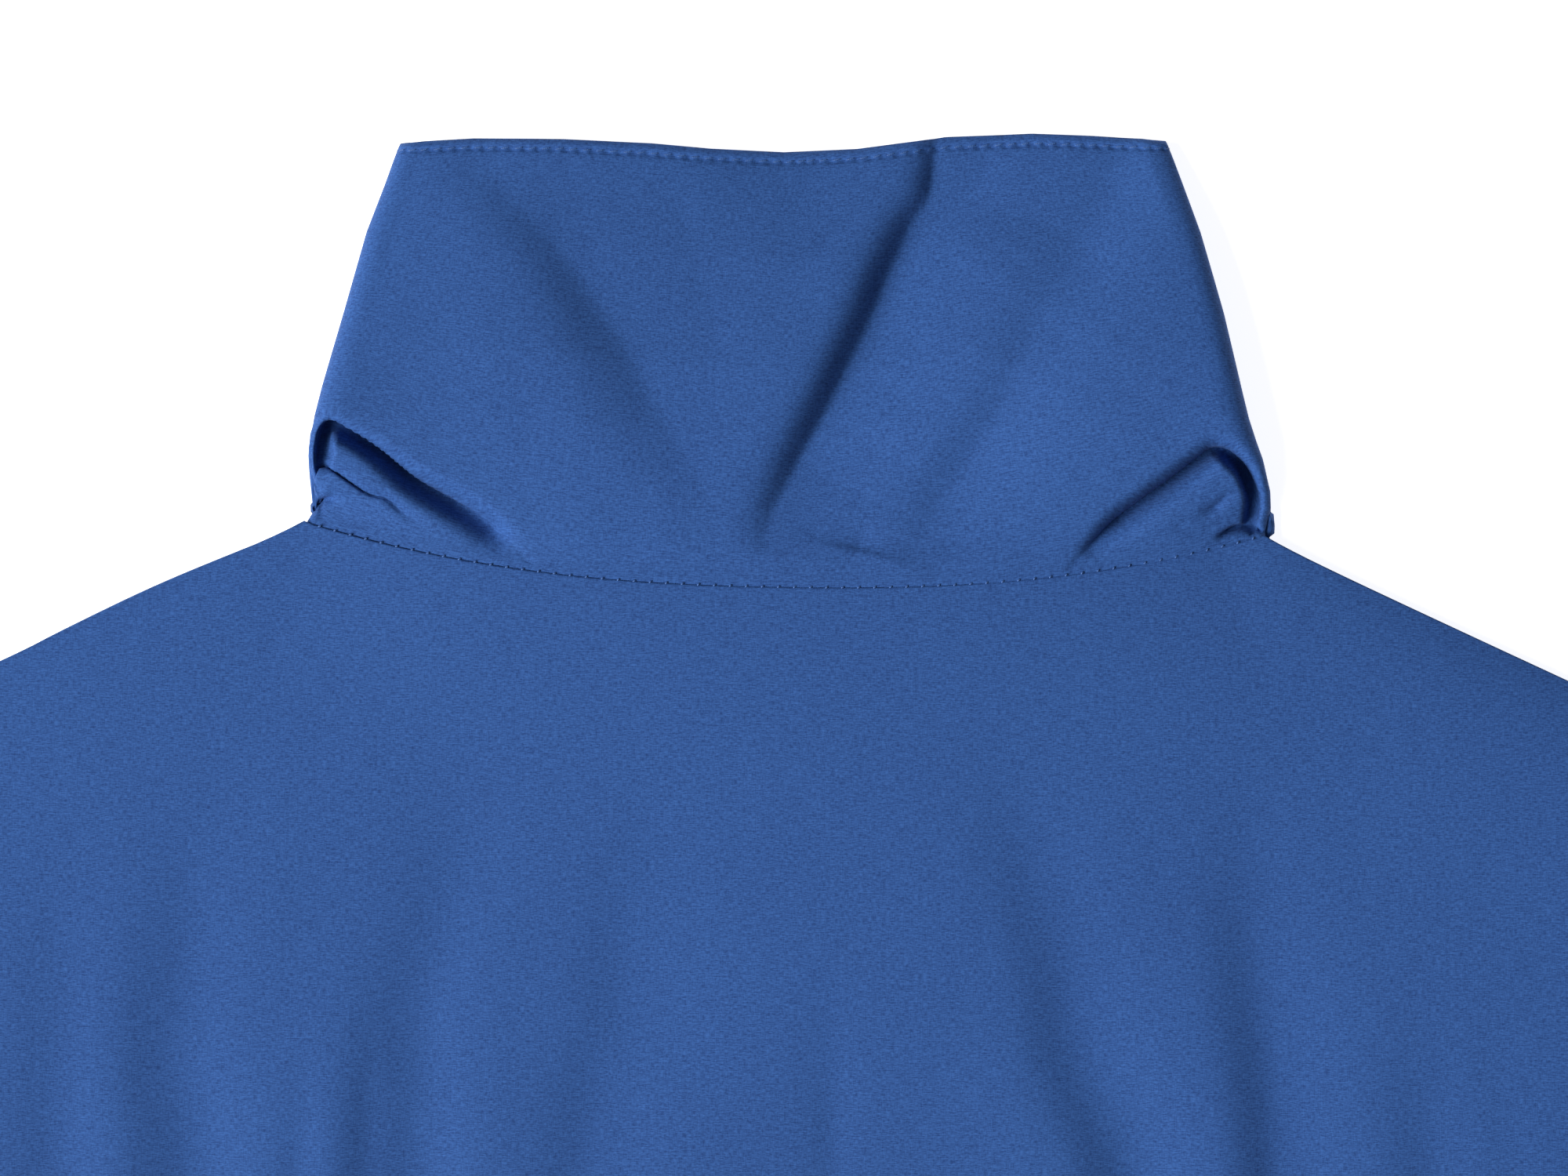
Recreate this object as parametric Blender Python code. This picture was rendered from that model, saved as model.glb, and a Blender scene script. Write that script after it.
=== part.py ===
"""Blue flight jacket with a tall stand collar, zipped up and laid face down on a flat surface.

The back lies on top and the fronts lie on the surface at z = 0. +Y runs from the hem to the collar, +X is
the wearer's right, +Z points up. All sizes below are in millimetres. Plan positions are measured from the
middle of the back neck seam, and place() moves them to the frame, whose origin is under the middle of the
laid jacket.
"""

import math
from collections import namedtuple

import bmesh
import bpy
import numpy as np

MM = 0.001

# ---------------------------------------------------------------- driving dimensions
NECK_SEAM_Y = 281.55      # back neck seam above the origin, which is half way between hem and collar top
CLOTH = 1.5               # thickness of every cloth wall
SEAM_GAP = 0.35           # between pieces at a seam
FRONT_NECK_GAP = 0.7      # and between the fronts and the collar, whose sides bulge over the seam
LAYER_GAP = 0.3           # between a lower and an upper layer
EDGE_TOP = 2 * CLOTH + LAYER_GAP  # height of the upper layer where it meets the lower one at an edge

NECK_HALF = 94.5          # neck side point from the middle
NECK_RISE = 11.5          # how far the neck seam curves up to that point
NECK_CURVE = 2.4          # exponent of that curve
TILT = 0.016              # the neck lies a little askew, left side up
TILT_REACH = 300.0        # distance over which that skew dies out
SHOULDER_HALF = 238.0
SHOULDER_FALL = 0.457     # slope of the shoulder line
SHOULDER_DIP = 0.7        # small hollow beside the collar
SHOULDER_DIP_RUN = 6.0    # and the distance over which it opens
SHOULDER_GAP = 2.0        # from the neck side point to the front's corner
HEM_Y = -590.0            # seam between body and waistband
BAND_DEPTH = 62.0         # height of the waistband
FRONT_EDGE = 4.3          # centre front edge from the middle of the zip

LOFT = 3.5                # how much higher than its edges the upper layer of the body lies
LOFT_RUN = 10.0           # distance from the edge over which it rises
FOLD_RUN = 16.0           # folds start this far from a free edge
NECK_LIFT = 1.8           # the collar holds the back up near the neck
NECK_LIFT_REACH = 60.0
ZIP_CLEARANCE = 6.7       # least height of the upper layer over the zip
ZIP_REACH = 16.0
NECK_END_HEIGHT = 4.4     # of the back neck seam at the neck side points
NECK_END_CURVE = 3        # exponent of its fall towards them
SEAM_BLEND = 0.35         # how far the back's next row of points follows the neck seam's height
LEAST_RISE = EDGE_TOP + 0.2  # lowest top face of an upper layer inside its edges

COLLAR_STEPS = (0, 0.035, 0.08, 0.12, 0.16, 0.2, 0.24, 0.28, 0.34, 0.43, 0.54, 0.67, 0.8, 0.91, 1.0)
COLLAR_COLUMNS = 22       # across the middle of the back of the collar
COLLAR_BASE_COLUMNS = 13  # across each side of it, where it buckles
COLLAR_BUCKLE = 0.6       # where those sides start, as a share of its half width
COLLAR_CROWN = 6          # exponent of the collar's fall from its middle to its side folds
COLLAR_FADE = 0.06        # share of its height over which the folds die out at the neck seam
FOLD_POINTS = 5           # round each side fold of the collar
FRONT_COLUMNS = 7         # along each front half of the collar

NECK_COLUMNS = 16         # of the back panel, along the neck seam
SHOULDER_COLUMNS = 9      # and along each shoulder
ARMHOLE_ROWS = 10
SIDE_ROWS = 14
SLEEVE_SECTIONS = 17
BOW_REACH = 0.45          # share of the sleeve over which its sections straighten from the armhole's curve
BOW_CURVE = 1.5
UNDER_POINTS = 5          # along the lower layer of a sleeve

RIB_PITCH = 4.2           # of the knitted waistband and cuffs
RIB_RELIEF = 0.9
RIB_EDGE = 0.985          # ribs stop at this share of the band's half width
BAND_TOP = 6.6            # height of the waistband over the surface
BAND_DROP = 0.35          # share of its height that a band loses towards its side folds
BAND_DROP_CURVE = 8
BAND_SIDE = 3.0           # from the waistband's side fold to the end of its lower layer
CUFF_TOP = 6.0            # height of the cuffs
CUFF_INNER_TOP = 5.7      # and of the plain inside of their upper layer, one cloth higher

# ---------------------------------------------------------------- outlines of the right half, seen from above
ARMHOLE = ((238.0, -54.8), (233.0, -125.0), (237.0, -195.0), (254.0, -258.0), (288.0, -305.0))
SIDE_SEAM = ((288.0, -305.0), (294.0, -390.0), (291.0, -480.0), (278.0, -550.0), (256.0, HEM_Y))
SLEEVE_TOP = ((238.0, -54.8), (300.0, -85.0), (362.0, -124.0), (425.0, -175.0), (490.0, -240.0),
              (560.0, -318.0), (620.0, -390.0), (662.7, -439.3))
SLEEVE_UNDER = ((288.0, -305.0), (330.0, -331.0), (385.0, -370.0), (450.0, -421.0), (515.0, -470.0),
                (585.3, -514.7))
CUFF_CENTRE = (624.0, -477.0)
CUFF_RUN = (0.698, -0.716)          # direction from the sleeve to the hand
CUFF_LENGTH = 62.0
CUFF_HALF = ((0.0, 51.0), (0.5, 47.0), (1.0, 49.0))
BAND_HALF = ((0.0, 250.0), (0.5, 243.0), (1.0, 246.0))
FRONT_NECK = ((94.5, 12.0), (92.5, -15.0), (82.0, -47.0), (62.0, -73.0), (35.0, -90.0), (FRONT_EDGE, -95.0))
COLLAR_FRONT_TOP = ((75.2, 86.8), (52.0, 66.0), (30.0, 38.0), (14.0, 10.0), (FRONT_EDGE, -8.0))
# height up the side, and half width on the left and on the right
COLLAR_SIDE = ((12.0, 92.6, 94.6), (16.6, 92.8, 94.9), (19.7, 93.1, 95.0), (25.8, 93.6, 93.8),
               (28.9, 93.2, 92.7), (33.5, 92.0, 91.4), (38.2, 90.8, 90.2), (53.5, 86.4, 86.5),
               (68.9, 81.6, 82.0), (78.2, 78.0, 78.6), (86.8, 74.8, 75.2))
COLLAR_TOP = ((-75.2, 85.0), (-73.2, 86.1), (-70.8, 86.5), (-64.6, 87.1), (-46.0, 87.2), (-27.7, 86.7),
              (-15.4, 85.9), (0.0, 85.5), (15.4, 86.4), (27.7, 88.1), (33.8, 89.1), (52.0, 90.0),
              (64.6, 89.7), (71.0, 89.3), (75.2, 87.6))
COLLAR_FOLD_HEIGHT = ((0.0, 3.7), (0.05, 6.0), (0.12, 10.5), (0.2, 13.5), (0.4, 12.5), (0.7, 10.0),
                      (1.0, 8.0))
COLLAR_BACK_HEIGHT = ((0.0, 8.4), (0.05, 10.5), (0.14, 12.5), (0.35, 13.5), (0.7, 12.5), (1.0, 10.5))

# ---------------------------------------------------------------- folds
# A fold follows a path on the plan. Its depth is the height it adds, below zero for a trough, at the start
# and at the end. Its widths are those of its flanks to the left and the right of someone walking along the
# path.
Fold = namedtuple("Fold", "path start_depth end_depth left_width right_width")

COLLAR_FOLDS = (
    # crease from the top edge to the neck seam, steep on its right flank
    Fold(((32.9, 88.0), (22.0, 71.0), (15.4, 55.7), (10.9, 42.6), (0.0, 22.8), (-4.5, 9.5)), -6.5, -4.0,
         5.5, 15.0),
    # hollow between the two bulges of the collar
    Fold(((-12.0, 88.0), (-12.0, 52.0)), -2.6, -1.0, 24.0, 24.0),
    # right flank of the left bulge
    Fold(((-59.4, 77.7), (-48.3, 64.5), (-35.2, 49.0), (-24.2, 29.4), (-20.0, 19.7)), -2.6, -1.4, 7.0, 12.0),
    # broad trough on the right
    Fold(((61.5, 76.0), (52.8, 58.0), (44.0, 40.3), (32.9, 24.9), (28.6, 11.8)), -3.4, -2.2, 7.0, 13.0),
    # buckles at the base, where the side folds turn under
    Fold(((-91.4, 19.0), (-91.0, 26.0), (-87.7, 31.0), (-82.0, 28.8), (-74.5, 23.5), (-66.0, 17.5),
          (-58.0, 11.6), (-53.6, 7.8)), -6.5, -3.0, 3.5, 7.0),
    Fold(((92.6, 17.0), (91.0, 23.5), (86.0, 27.0), (81.5, 25.2), (77.5, 22.0), (71.2, 17.7), (65.0, 13.0),
          (59.0, 6.8)), -6.5, -3.0, 7.0, 3.5),
)

BODY_FOLDS = (
    # soft folds that start under the yoke line and run down the back
    Fold(((-112.0, -38.0), (-113.5, -80.0), (-116.0, -130.0), (-124.0, -215.0)), -0.6, -2.2, 7.0, 15.0),
    Fold(((-64.0, -36.0), (-68.5, -83.0), (-72.0, -130.0), (-84.0, -250.0)), -0.6, -2.4, 7.0, 16.0),
    Fold(((-30.8, -56.0), (-36.0, -94.0), (-40.0, -140.0), (-52.0, -230.0)), -0.3, -1.4, 7.0, 14.0),
    Fold(((36.2, -30.0), (55.0, -72.0), (68.0, -106.0), (82.0, -180.0), (92.0, -270.0)), -0.7, -2.6,
         8.0, 14.0),
    Fold(((91.5, -38.0), (93.0, -83.0), (97.0, -120.0), (112.0, -210.0)), -0.6, -2.2, 7.0, 12.0),
    Fold(((128.0, -85.0), (136.0, -125.0), (150.0, -200.0)), -0.3, -1.8, 9.0, 12.0),
    # ridges of the bloused lower back
    Fold(((-150.0, -330.0), (-132.0, -430.0), (-120.0, -540.0)), 1.0, 3.2, 22.0, 26.0),
    Fold(((-40.0, -300.0), (-28.0, -420.0), (-34.0, -545.0)), 0.8, 2.6, 24.0, 20.0),
    Fold(((62.0, -340.0), (54.0, -440.0), (60.0, -548.0)), 0.8, 3.0, 20.0, 24.0),
    Fold(((166.0, -330.0), (158.0, -430.0), (140.0, -540.0)), 1.0, 2.8, 24.0, 20.0),
    # drag lines from each underarm
    Fold(((-262.0, -288.0), (-205.0, -262.0), (-160.0, -250.0)), 3.4, 0.6, 10.0, 12.0),
    Fold(((-272.0, -345.0), (-215.0, -335.0), (-170.0, -318.0)), 2.6, 0.4, 12.0, 10.0),
    Fold(((264.0, -286.0), (212.0, -266.0), (165.0, -262.0)), 3.2, 0.6, 12.0, 10.0),
    Fold(((272.0, -350.0), (222.0, -338.0), (176.0, -326.0)), 2.4, 0.4, 10.0, 12.0),
)

# Sleeve folds are given for the right sleeve. The left one uses its own table, mirrored when it is read.
RIGHT_SLEEVE_FOLDS = (
    Fold(((300.0, -300.0), (340.0, -262.0), (372.0, -206.0)), 4.2, 0.8, 11.0, 13.0),
    Fold(((322.0, -318.0), (372.0, -296.0), (420.0, -250.0)), 4.4, 0.8, 10.0, 13.0),
    Fold(((362.0, -346.0), (412.0, -338.0), (462.0, -300.0)), 3.4, 0.6, 11.0, 12.0),
    Fold(((262.0, -120.0), (286.0, -190.0), (296.0, -255.0)), 1.6, 3.6, 14.0, 16.0),
    Fold(((500.0, -448.0), (520.0, -410.0), (556.0, -352.0)), 2.6, 1.6, 12.0, 12.0),
    Fold(((545.0, -472.0), (572.0, -430.0), (604.0, -404.0)), 3.0, 2.0, 9.0, 11.0),
    Fold(((430.0, -390.0), (470.0, -352.0), (508.0, -290.0)), 1.4, 2.4, 14.0, 16.0),
)
LEFT_SLEEVE_FOLDS = (
    Fold(((298.0, -296.0), (332.0, -250.0), (356.0, -190.0)), 4.0, 0.8, 12.0, 12.0),
    Fold(((330.0, -322.0), (378.0, -292.0), (414.0, -236.0)), 4.6, 0.9, 10.0, 13.0),
    Fold(((372.0, -354.0), (424.0, -336.0), (468.0, -286.0)), 3.0, 0.8, 12.0, 12.0),
    Fold(((258.0, -112.0), (280.0, -180.0), (290.0, -248.0)), 1.4, 3.8, 14.0, 14.0),
    Fold(((486.0, -440.0), (516.0, -396.0), (540.0, -330.0)), 2.8, 1.4, 12.0, 13.0),
    Fold(((552.0, -478.0), (574.0, -440.0), (612.0, -398.0)), 3.2, 1.8, 9.0, 10.0),
    Fold(((446.0, -404.0), (476.0, -366.0), (520.0, -300.0)), 1.2, 2.2, 14.0, 14.0),
)

# Gathers where the cloth is drawn in to a ribbed band.
HEM_GATHERS = 26
CUFF_GATHERS = 9
GATHER_RELIEF = 1.5
GATHER_RUN = 34.0
CUFF_GATHER_RUN = 60.0    # measured from the cuff's seam centre

# ---------------------------------------------------------------- zip
TAPE_EDGE = 15.0
TAPE_BOTTOM = CLOTH + LAYER_GAP
TAPE_THICKNESS = 1.0
CHAIN_HALF = 3.0
CHAIN_BOTTOM = 2.5
CHAIN_TOP = 4.7
SLIDER_TOP_Y = -11.0
SLIDER_SIZE = (9.0, 12.0, 3.4)      # width, length, thickness
SLIDER_BOTTOM = 2.2
HINGE_Y = -17.0                     # axis of the pull tab, along X
HINGE_Z = 1.4
TAB_WIDTH = 5.8
TAB_LENGTH = 27.0
TAB_THICKNESS = 0.9
EYE_WIDTH = 3.2
EYE_LENGTH = 5.6
BAR_WIDTH = 0.9                     # of the tab's end, held under the slider's bridge
BRIDGE_WIDTH = 2.2
BRIDGE_THICKNESS = 0.45
BRIDGE_PLAY = 0.25                  # between the tab's end bar and the bridge under it
POST_PLAY = 0.5                     # and between that bar and the posts on both sides
POST_LENGTH = 1.2
POST_ROOT = 1.5                     # how deep the posts are set in the slider
SLIDER_BEVEL = 0.6
TAB_BEVEL = 0.12
TAPE_TOP_GAP = 2.0                  # from the collar's top edge to the end of the tape

CLOTH_BLUE = (0.043, 0.107, 0.323, 1.0)
RIB_BLUE = (0.030, 0.078, 0.250, 1.0)
TAPE_BLUE = (0.025, 0.062, 0.200, 1.0)
NICKEL = (0.55, 0.54, 0.52, 1.0)


# ---------------------------------------------------------------- curves and folds
def smooth_curve(points, count):
    """count + 1 points, evenly spaced, on a Catmull-Rom curve through the given points."""
    known = np.array(points, float)
    padded = np.vstack([2 * known[0] - known[1], known, 2 * known[-1] - known[-2]])
    fine = [known[0]]
    for i in range(len(known) - 1):
        p0, p1, p2, p3 = padded[i:i + 4]
        for t in np.linspace(0, 1, 25)[1:]:
            fine.append(0.5 * (2 * p1 + (p2 - p0) * t + (2 * p0 - 5 * p1 + 4 * p2 - p3) * t ** 2
                               + (3 * p1 - p0 - 3 * p2 + p3) * t ** 3))
    return resampled(np.array(fine), count)


def resampled(points, count):
    """The polyline cut into count equal lengths."""
    lengths = np.concatenate([[0], np.cumsum(np.linalg.norm(np.diff(points, axis=0), axis=1))])
    wanted = np.linspace(0, lengths[-1], count + 1)
    return np.stack([np.interp(wanted, lengths, points[:, k]) for k in range(points.shape[1])], axis=1)


def table(rows, at, column=1):
    """Value of a table's column, on straight lines between its rows, at a value of its first column."""
    known = np.array(rows, float)
    return np.interp(at, known[:, 0], known[:, column])


def nearest_on(path, points):
    """For each point: distance to the path, share of the way along it, and its side of the path, from +1 on
    the left to -1 on the right."""
    best = np.full(len(points), np.inf)
    along = np.zeros(len(points))
    side = np.zeros(len(points))
    lengths = np.concatenate([[0], np.cumsum(np.linalg.norm(np.diff(path, axis=0), axis=1))])
    for i in range(len(path) - 1):
        start, run = path[i], path[i + 1] - path[i]
        offset = points - start
        share = np.clip(offset @ run / (run @ run), 0, 1)
        gap = np.linalg.norm(offset - share[:, None] * run, axis=1)
        closer = gap < best
        best = np.where(closer, gap, best)
        along = np.where(closer, (lengths[i] + share * (lengths[i + 1] - lengths[i])) / lengths[-1], along)
        cross = run[0] * offset[:, 1] - run[1] * offset[:, 0]
        turn = cross / np.maximum(np.linalg.norm(run) * gap, 1e-9)
        side = np.where(closer, turn, side)
    return best, along, side


def fold_height(folds, points, flipped=False):
    """Height that the folds add at each plan point."""
    points = points * (-1, 1) if flipped else points
    total = np.zeros(len(points))
    for fold in folds:
        path = smooth_curve(fold.path, 6 * (len(fold.path) - 1))
        gap, along, side = nearest_on(path, points)
        width = fold.right_width + (fold.left_width - fold.right_width) * (1 + np.clip(side, -1, 1)) / 2
        depth = fold.start_depth + (fold.end_depth - fold.start_depth) * along
        total += depth * np.exp(-(gap / width) ** 2)
    return total


def neck_seam(x):
    """Plan height of the back neck seam."""
    return NECK_RISE * abs(x / NECK_HALF) ** NECK_CURVE


def shoulder_line(x):
    """Plan height of the shoulder edge."""
    beyond = abs(x) - NECK_HALF
    return NECK_RISE - SHOULDER_DIP * (1 - math.exp(-beyond / SHOULDER_DIP_RUN)) - SHOULDER_FALL * beyond


def mirrored(points):
    return np.array(points, float) * (-1, 1)


def free_edge():
    """Right half of the jacket's silhouette below the collar, as one polyline."""
    shoulder = [(x, shoulder_line(x)) for x in np.linspace(NECK_HALF, SHOULDER_HALF, 12)]
    return (np.array(shoulder), smooth_curve(SLEEVE_TOP, 40), smooth_curve(SLEEVE_UNDER[::-1], 30),
            smooth_curve(SIDE_SEAM, 20))


EDGE_LINES = [line * side for line in free_edge() for side in ((1, 1), (-1, 1))]


def upper_height(x, y):
    """Height of the top face of the upper layer of the body and sleeves, which rises from its free edges."""
    points = np.stack([np.ravel(x), np.ravel(y)], axis=1).astype(float)
    edge_gap = np.min([nearest_on(line, points)[0] for line in EDGE_LINES], axis=0)
    rise = EDGE_TOP + LOFT * (1 - np.exp(-edge_gap / LOFT_RUN))
    folds = (fold_height(BODY_FOLDS, points) + fold_height(RIGHT_SLEEVE_FOLDS, points)
             + fold_height(LEFT_SLEEVE_FOLDS, points, flipped=True))
    height = rise + folds * (1 - np.exp(-(edge_gap / FOLD_RUN) ** 2))
    height += hem_gathers(points) + NECK_LIFT * np.exp(-np.sum(points ** 2, axis=1) / NECK_LIFT_REACH ** 2)
    over_zip = ZIP_CLEARANCE * np.exp(-(points[:, 0] / ZIP_REACH) ** 4)
    return np.maximum(np.maximum(height, EDGE_TOP), over_zip)


def hem_gathers(points):
    """Small pleats just above the waistband."""
    above = np.clip(points[:, 1] - HEM_Y, 0, None)
    inside = (np.abs(points[:, 0]) < SIDE_SEAM[1][0]) & (points[:, 1] < ARMHOLE[-1][1])
    wave = np.cos(points[:, 0] / SIDE_SEAM[-1][0] * math.pi * HEM_GATHERS / 2)
    return np.where(inside, GATHER_RELIEF * wave * np.exp(-(above / GATHER_RUN) ** 2), 0)


# ---------------------------------------------------------------- meshes
def place(point):
    """Plan point and height in millimetres to the frame in metres, with the slight skew of the neck."""
    x, y, z = (float(c) for c in point)
    skew = TILT * x * math.exp(-(x * x + y * y) / TILT_REACH ** 2)
    return x * MM, (y - skew + NECK_SEAM_Y) * MM, z * MM


def material(name, colour, roughness, metallic=0.0):
    made = bpy.data.materials.get(name) or bpy.data.materials.new(name)
    made.use_nodes = True
    shader = made.node_tree.nodes["Principled BSDF"]
    shader.inputs["Base Color"].default_value = colour
    shader.inputs["Roughness"].default_value = roughness
    shader.inputs["Metallic"].default_value = metallic
    return made


def new_object(name, bm, finish):
    bmesh.ops.recalc_face_normals(bm, faces=bm.faces)
    mesh = bpy.data.meshes.new(name)
    bm.to_mesh(mesh)
    bm.free()
    made = bpy.data.objects.new(name, mesh)
    bpy.context.scene.collection.objects.link(made)
    mesh.materials.append(finish)
    mesh.shade_smooth()
    mesh.set_sharp_from_angle(angle=math.radians(65))
    return made


def wall(name, outer, inner, finish, ring=False):
    """A cloth wall between two grids of points, rows by columns. A ring closes each row on itself."""
    bm = bmesh.new()
    rows, columns = len(outer), len(outer[0])
    outside = [[bm.verts.new(place(p)) for p in row] for row in outer]
    inside = [[bm.verts.new(place(p)) for p in row] for row in inner]
    steps = columns if ring else columns - 1

    def quad(a, b, c, d):
        bm.faces.new((a, b, c))
        bm.faces.new((a, c, d))

    for i in range(rows - 1):
        for j in range(steps):
            k = (j + 1) % columns
            quad(outside[i][j], outside[i + 1][j], outside[i + 1][k], outside[i][k])
            quad(inside[i][j], inside[i + 1][j], inside[i + 1][k], inside[i][k])
    for j in range(steps):
        k = (j + 1) % columns
        for i in (0, rows - 1):
            quad(outside[i][j], outside[i][k], inside[i][k], inside[i][j])
    if not ring:
        for i in range(rows - 1):
            for j in (0, columns - 1):
                quad(outside[i][j], outside[i + 1][j], inside[i + 1][j], inside[i][j])
    return new_object(name, bm, finish)


def flat_piece(name, outline, bottom, thickness, finish):
    """A flat piece cut to an outline and extruded upwards."""
    bm = bmesh.new()
    face = bm.faces.new([bm.verts.new(place((x, y, bottom))) for x, y in outline])
    lifted = bmesh.ops.extrude_face_region(bm, geom=[face])
    moved = [v for v in lifted["geom"] if isinstance(v, bmesh.types.BMVert)]
    bmesh.ops.translate(bm, verts=moved, vec=(0, 0, thickness * MM))
    bmesh.ops.triangulate(bm, faces=bm.faces)
    return new_object(name, bm, finish)


# ---------------------------------------------------------------- body
def coons(top, bottom, left, right):
    """Plan grid between four boundary curves."""
    rows, columns = len(left), len(top)
    down = np.linspace(0, 1, rows)[:, None, None]
    across = np.linspace(0, 1, columns)[None, :, None]
    ruled_down = (1 - down) * top[None] + down * bottom[None]
    ruled_across = (1 - across) * left[:, None] + across * right[:, None]
    corners = ((1 - down) * ((1 - across) * top[0] + across * top[-1])
               + down * ((1 - across) * bottom[0] + across * bottom[-1]))
    return ruled_down + ruled_across - corners


def body_side():
    """Armhole and side seam of the right half, as the back's rows meet them."""
    armhole = smooth_curve(ARMHOLE, ARMHOLE_ROWS)
    side = smooth_curve(SIDE_SEAM, SIDE_ROWS)
    return np.vstack([armhole, side[1:]])


def back_panel(finish):
    shoulder_x = np.linspace(SHOULDER_HALF, NECK_HALF, SHOULDER_COLUMNS + 1)
    right_shoulder = np.array([(x, shoulder_line(x)) for x in shoulder_x])
    neck_x = np.linspace(-NECK_HALF, NECK_HALF, NECK_COLUMNS + 1)[1:-1]
    neck = np.array([(x, neck_seam(x) - SEAM_GAP / 2) for x in neck_x])
    top = np.vstack([mirrored(right_shoulder), neck, right_shoulder[::-1]])
    right = body_side()
    left = mirrored(right)
    bottom = np.stack([np.linspace(left[-1, 0], right[-1, 0], len(top)), np.full(len(top), HEM_Y)], axis=1)
    plan = coons(top, bottom, left, right)
    heights = upper_height(plan[..., 0], plan[..., 1]).reshape(plan.shape[:2])
    neck_columns = slice(SHOULDER_COLUMNS, SHOULDER_COLUMNS + NECK_COLUMNS + 1)
    seam_height = back_seam_height(plan[0, neck_columns, 0])
    for row, share in ((0, 1.0), (1, SEAM_BLEND)):
        heights[row, neck_columns] += share * (seam_height - heights[row, neck_columns])
    outer = np.dstack([plan, heights])
    inner = np.dstack([plan, heights - CLOTH])
    return wall("back", outer, inner, finish)


def back_seam_height(x):
    """Height of the back panel along the neck seam, lower towards the neck side points."""
    rise = COLLAR_BACK_HEIGHT[0][1] - NECK_END_HEIGHT
    return NECK_END_HEIGHT + rise * (1 - (np.abs(x) / NECK_HALF) ** NECK_END_CURVE)


def front_panel(side, finish):
    """One front, flat on the surface. side is 1 for the wearer's right and -1 for the left."""
    neck = smooth_curve(FRONT_NECK, FRONT_COLUMNS + 3)
    normals = np.gradient(neck, axis=0)[:, ::-1] * (1, -1)
    normals /= np.linalg.norm(normals, axis=1)[:, None]
    away = np.sign(np.sum(normals * (1, -1), axis=1))[:, None]
    neck = neck + normals * away * FRONT_NECK_GAP
    shoulder = [(x, shoulder_line(x)) for x in np.linspace(NECK_HALF + SHOULDER_GAP, SHOULDER_HALF, 6)]
    outline = np.vstack([neck[::-1], shoulder, body_side()[1:], [(FRONT_EDGE, HEM_Y)]])
    name = "front_right" if side > 0 else "front_left"
    return flat_piece(name, outline * (side, 1), 0.0, CLOTH, finish)


# ---------------------------------------------------------------- collar
def collar_half(v):
    """Half widths of the collar at share v of its height, on the left and on the right."""
    y_side = COLLAR_SIDE[0][0] + (COLLAR_SIDE[-1][0] - COLLAR_SIDE[0][0]) * v
    return float(table(COLLAR_SIDE, y_side)), float(table(COLLAR_SIDE, y_side, 2))


def collar_plan(v):
    """Back neck to top edge of the back of the collar at share v, as (x, y) columns from left to right."""
    left, right = collar_half(v)
    tuck = float(table(COLLAR_FOLD_HEIGHT, v)) / 2
    outer_share = np.linspace(COLLAR_BUCKLE, 1, COLLAR_BASE_COLUMNS + 1)
    middle_share = np.linspace(-COLLAR_BUCKLE, COLLAR_BUCKLE, COLLAR_COLUMNS + 1)
    share = np.concatenate([-outer_share[:0:-1], middle_share, outer_share[1:]])
    x = share * (np.where(share < 0, left, right) - tuck)
    low = np.array([neck_seam(NECK_HALF * s) + SEAM_GAP / 2 for s in share])
    high = table(COLLAR_TOP, share * COLLAR_TOP[-1][0])
    return x, low + (high - low) * v


def collar_sections(v):
    """One ring of the collar at share v of its height, as outer and inner points: left front, fold, back,
    fold, right front."""
    x, y = collar_plan(v)
    base = float(table(COLLAR_BACK_HEIGHT, v))
    side_height = float(table(COLLAR_FOLD_HEIGHT, v))
    crown = 1 - np.abs(x / np.where(x < 0, x[0], x[-1])) ** COLLAR_CROWN
    height = side_height + (base - side_height) * crown
    fade = min(1.0, v / COLLAR_FADE)
    points = np.stack([x, y], axis=1)
    height = height + fade * fold_height(COLLAR_FOLDS, points)
    if v == 0:
        height = back_seam_height(x)
        height[0] = height[-1] = side_height
    height = np.maximum(height, LEAST_RISE)
    back = np.column_stack([x, y, height])

    front_low = smooth_curve(FRONT_NECK, FRONT_COLUMNS + 3)
    front_high = smooth_curve(COLLAR_FRONT_TOP, FRONT_COLUMNS + 3)
    front = (front_low + (front_high - front_low) * v)[1:]
    left, right = collar_half(v)

    def half_ring(side, inset):
        """From the back's edge round the fold to the centre front, on one side."""
        edge = back[-1] if side > 0 else back[0]
        start = np.array([edge[0] * side, edge[1]])
        top = edge[2] - inset
        end = front[0]
        turn = []
        bulge = (right if side > 0 else left) - inset - (start[0] + end[0]) / 2
        for angle in np.linspace(0, math.pi, FOLD_POINTS + 2)[1:-1]:
            share = (1 - math.cos(angle)) / 2
            x_turn = start[0] * (1 - share) + end[0] * share + bulge * math.sin(angle)
            y_turn = start[1] + (end[1] - start[1]) * max(0.0, 2 * share - 1)
            turn.append((x_turn * side, y_turn, top * (1 - share) + inset * share))
        flat = [(p[0] * side, p[1], inset) for p in front]
        return turn + flat

    rings = []
    for inset in (0.0, CLOTH):
        middle = back - (0, 0, inset)
        ring = half_ring(-1, inset)[::-1] + [tuple(p) for p in middle] + half_ring(1, inset)
        rings.append(np.array(ring))
    return rings


def collar(finish):
    sections = [collar_sections(v) for v in COLLAR_STEPS]
    return wall("collar", [s[0] for s in sections], [s[1] for s in sections], finish)


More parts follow.
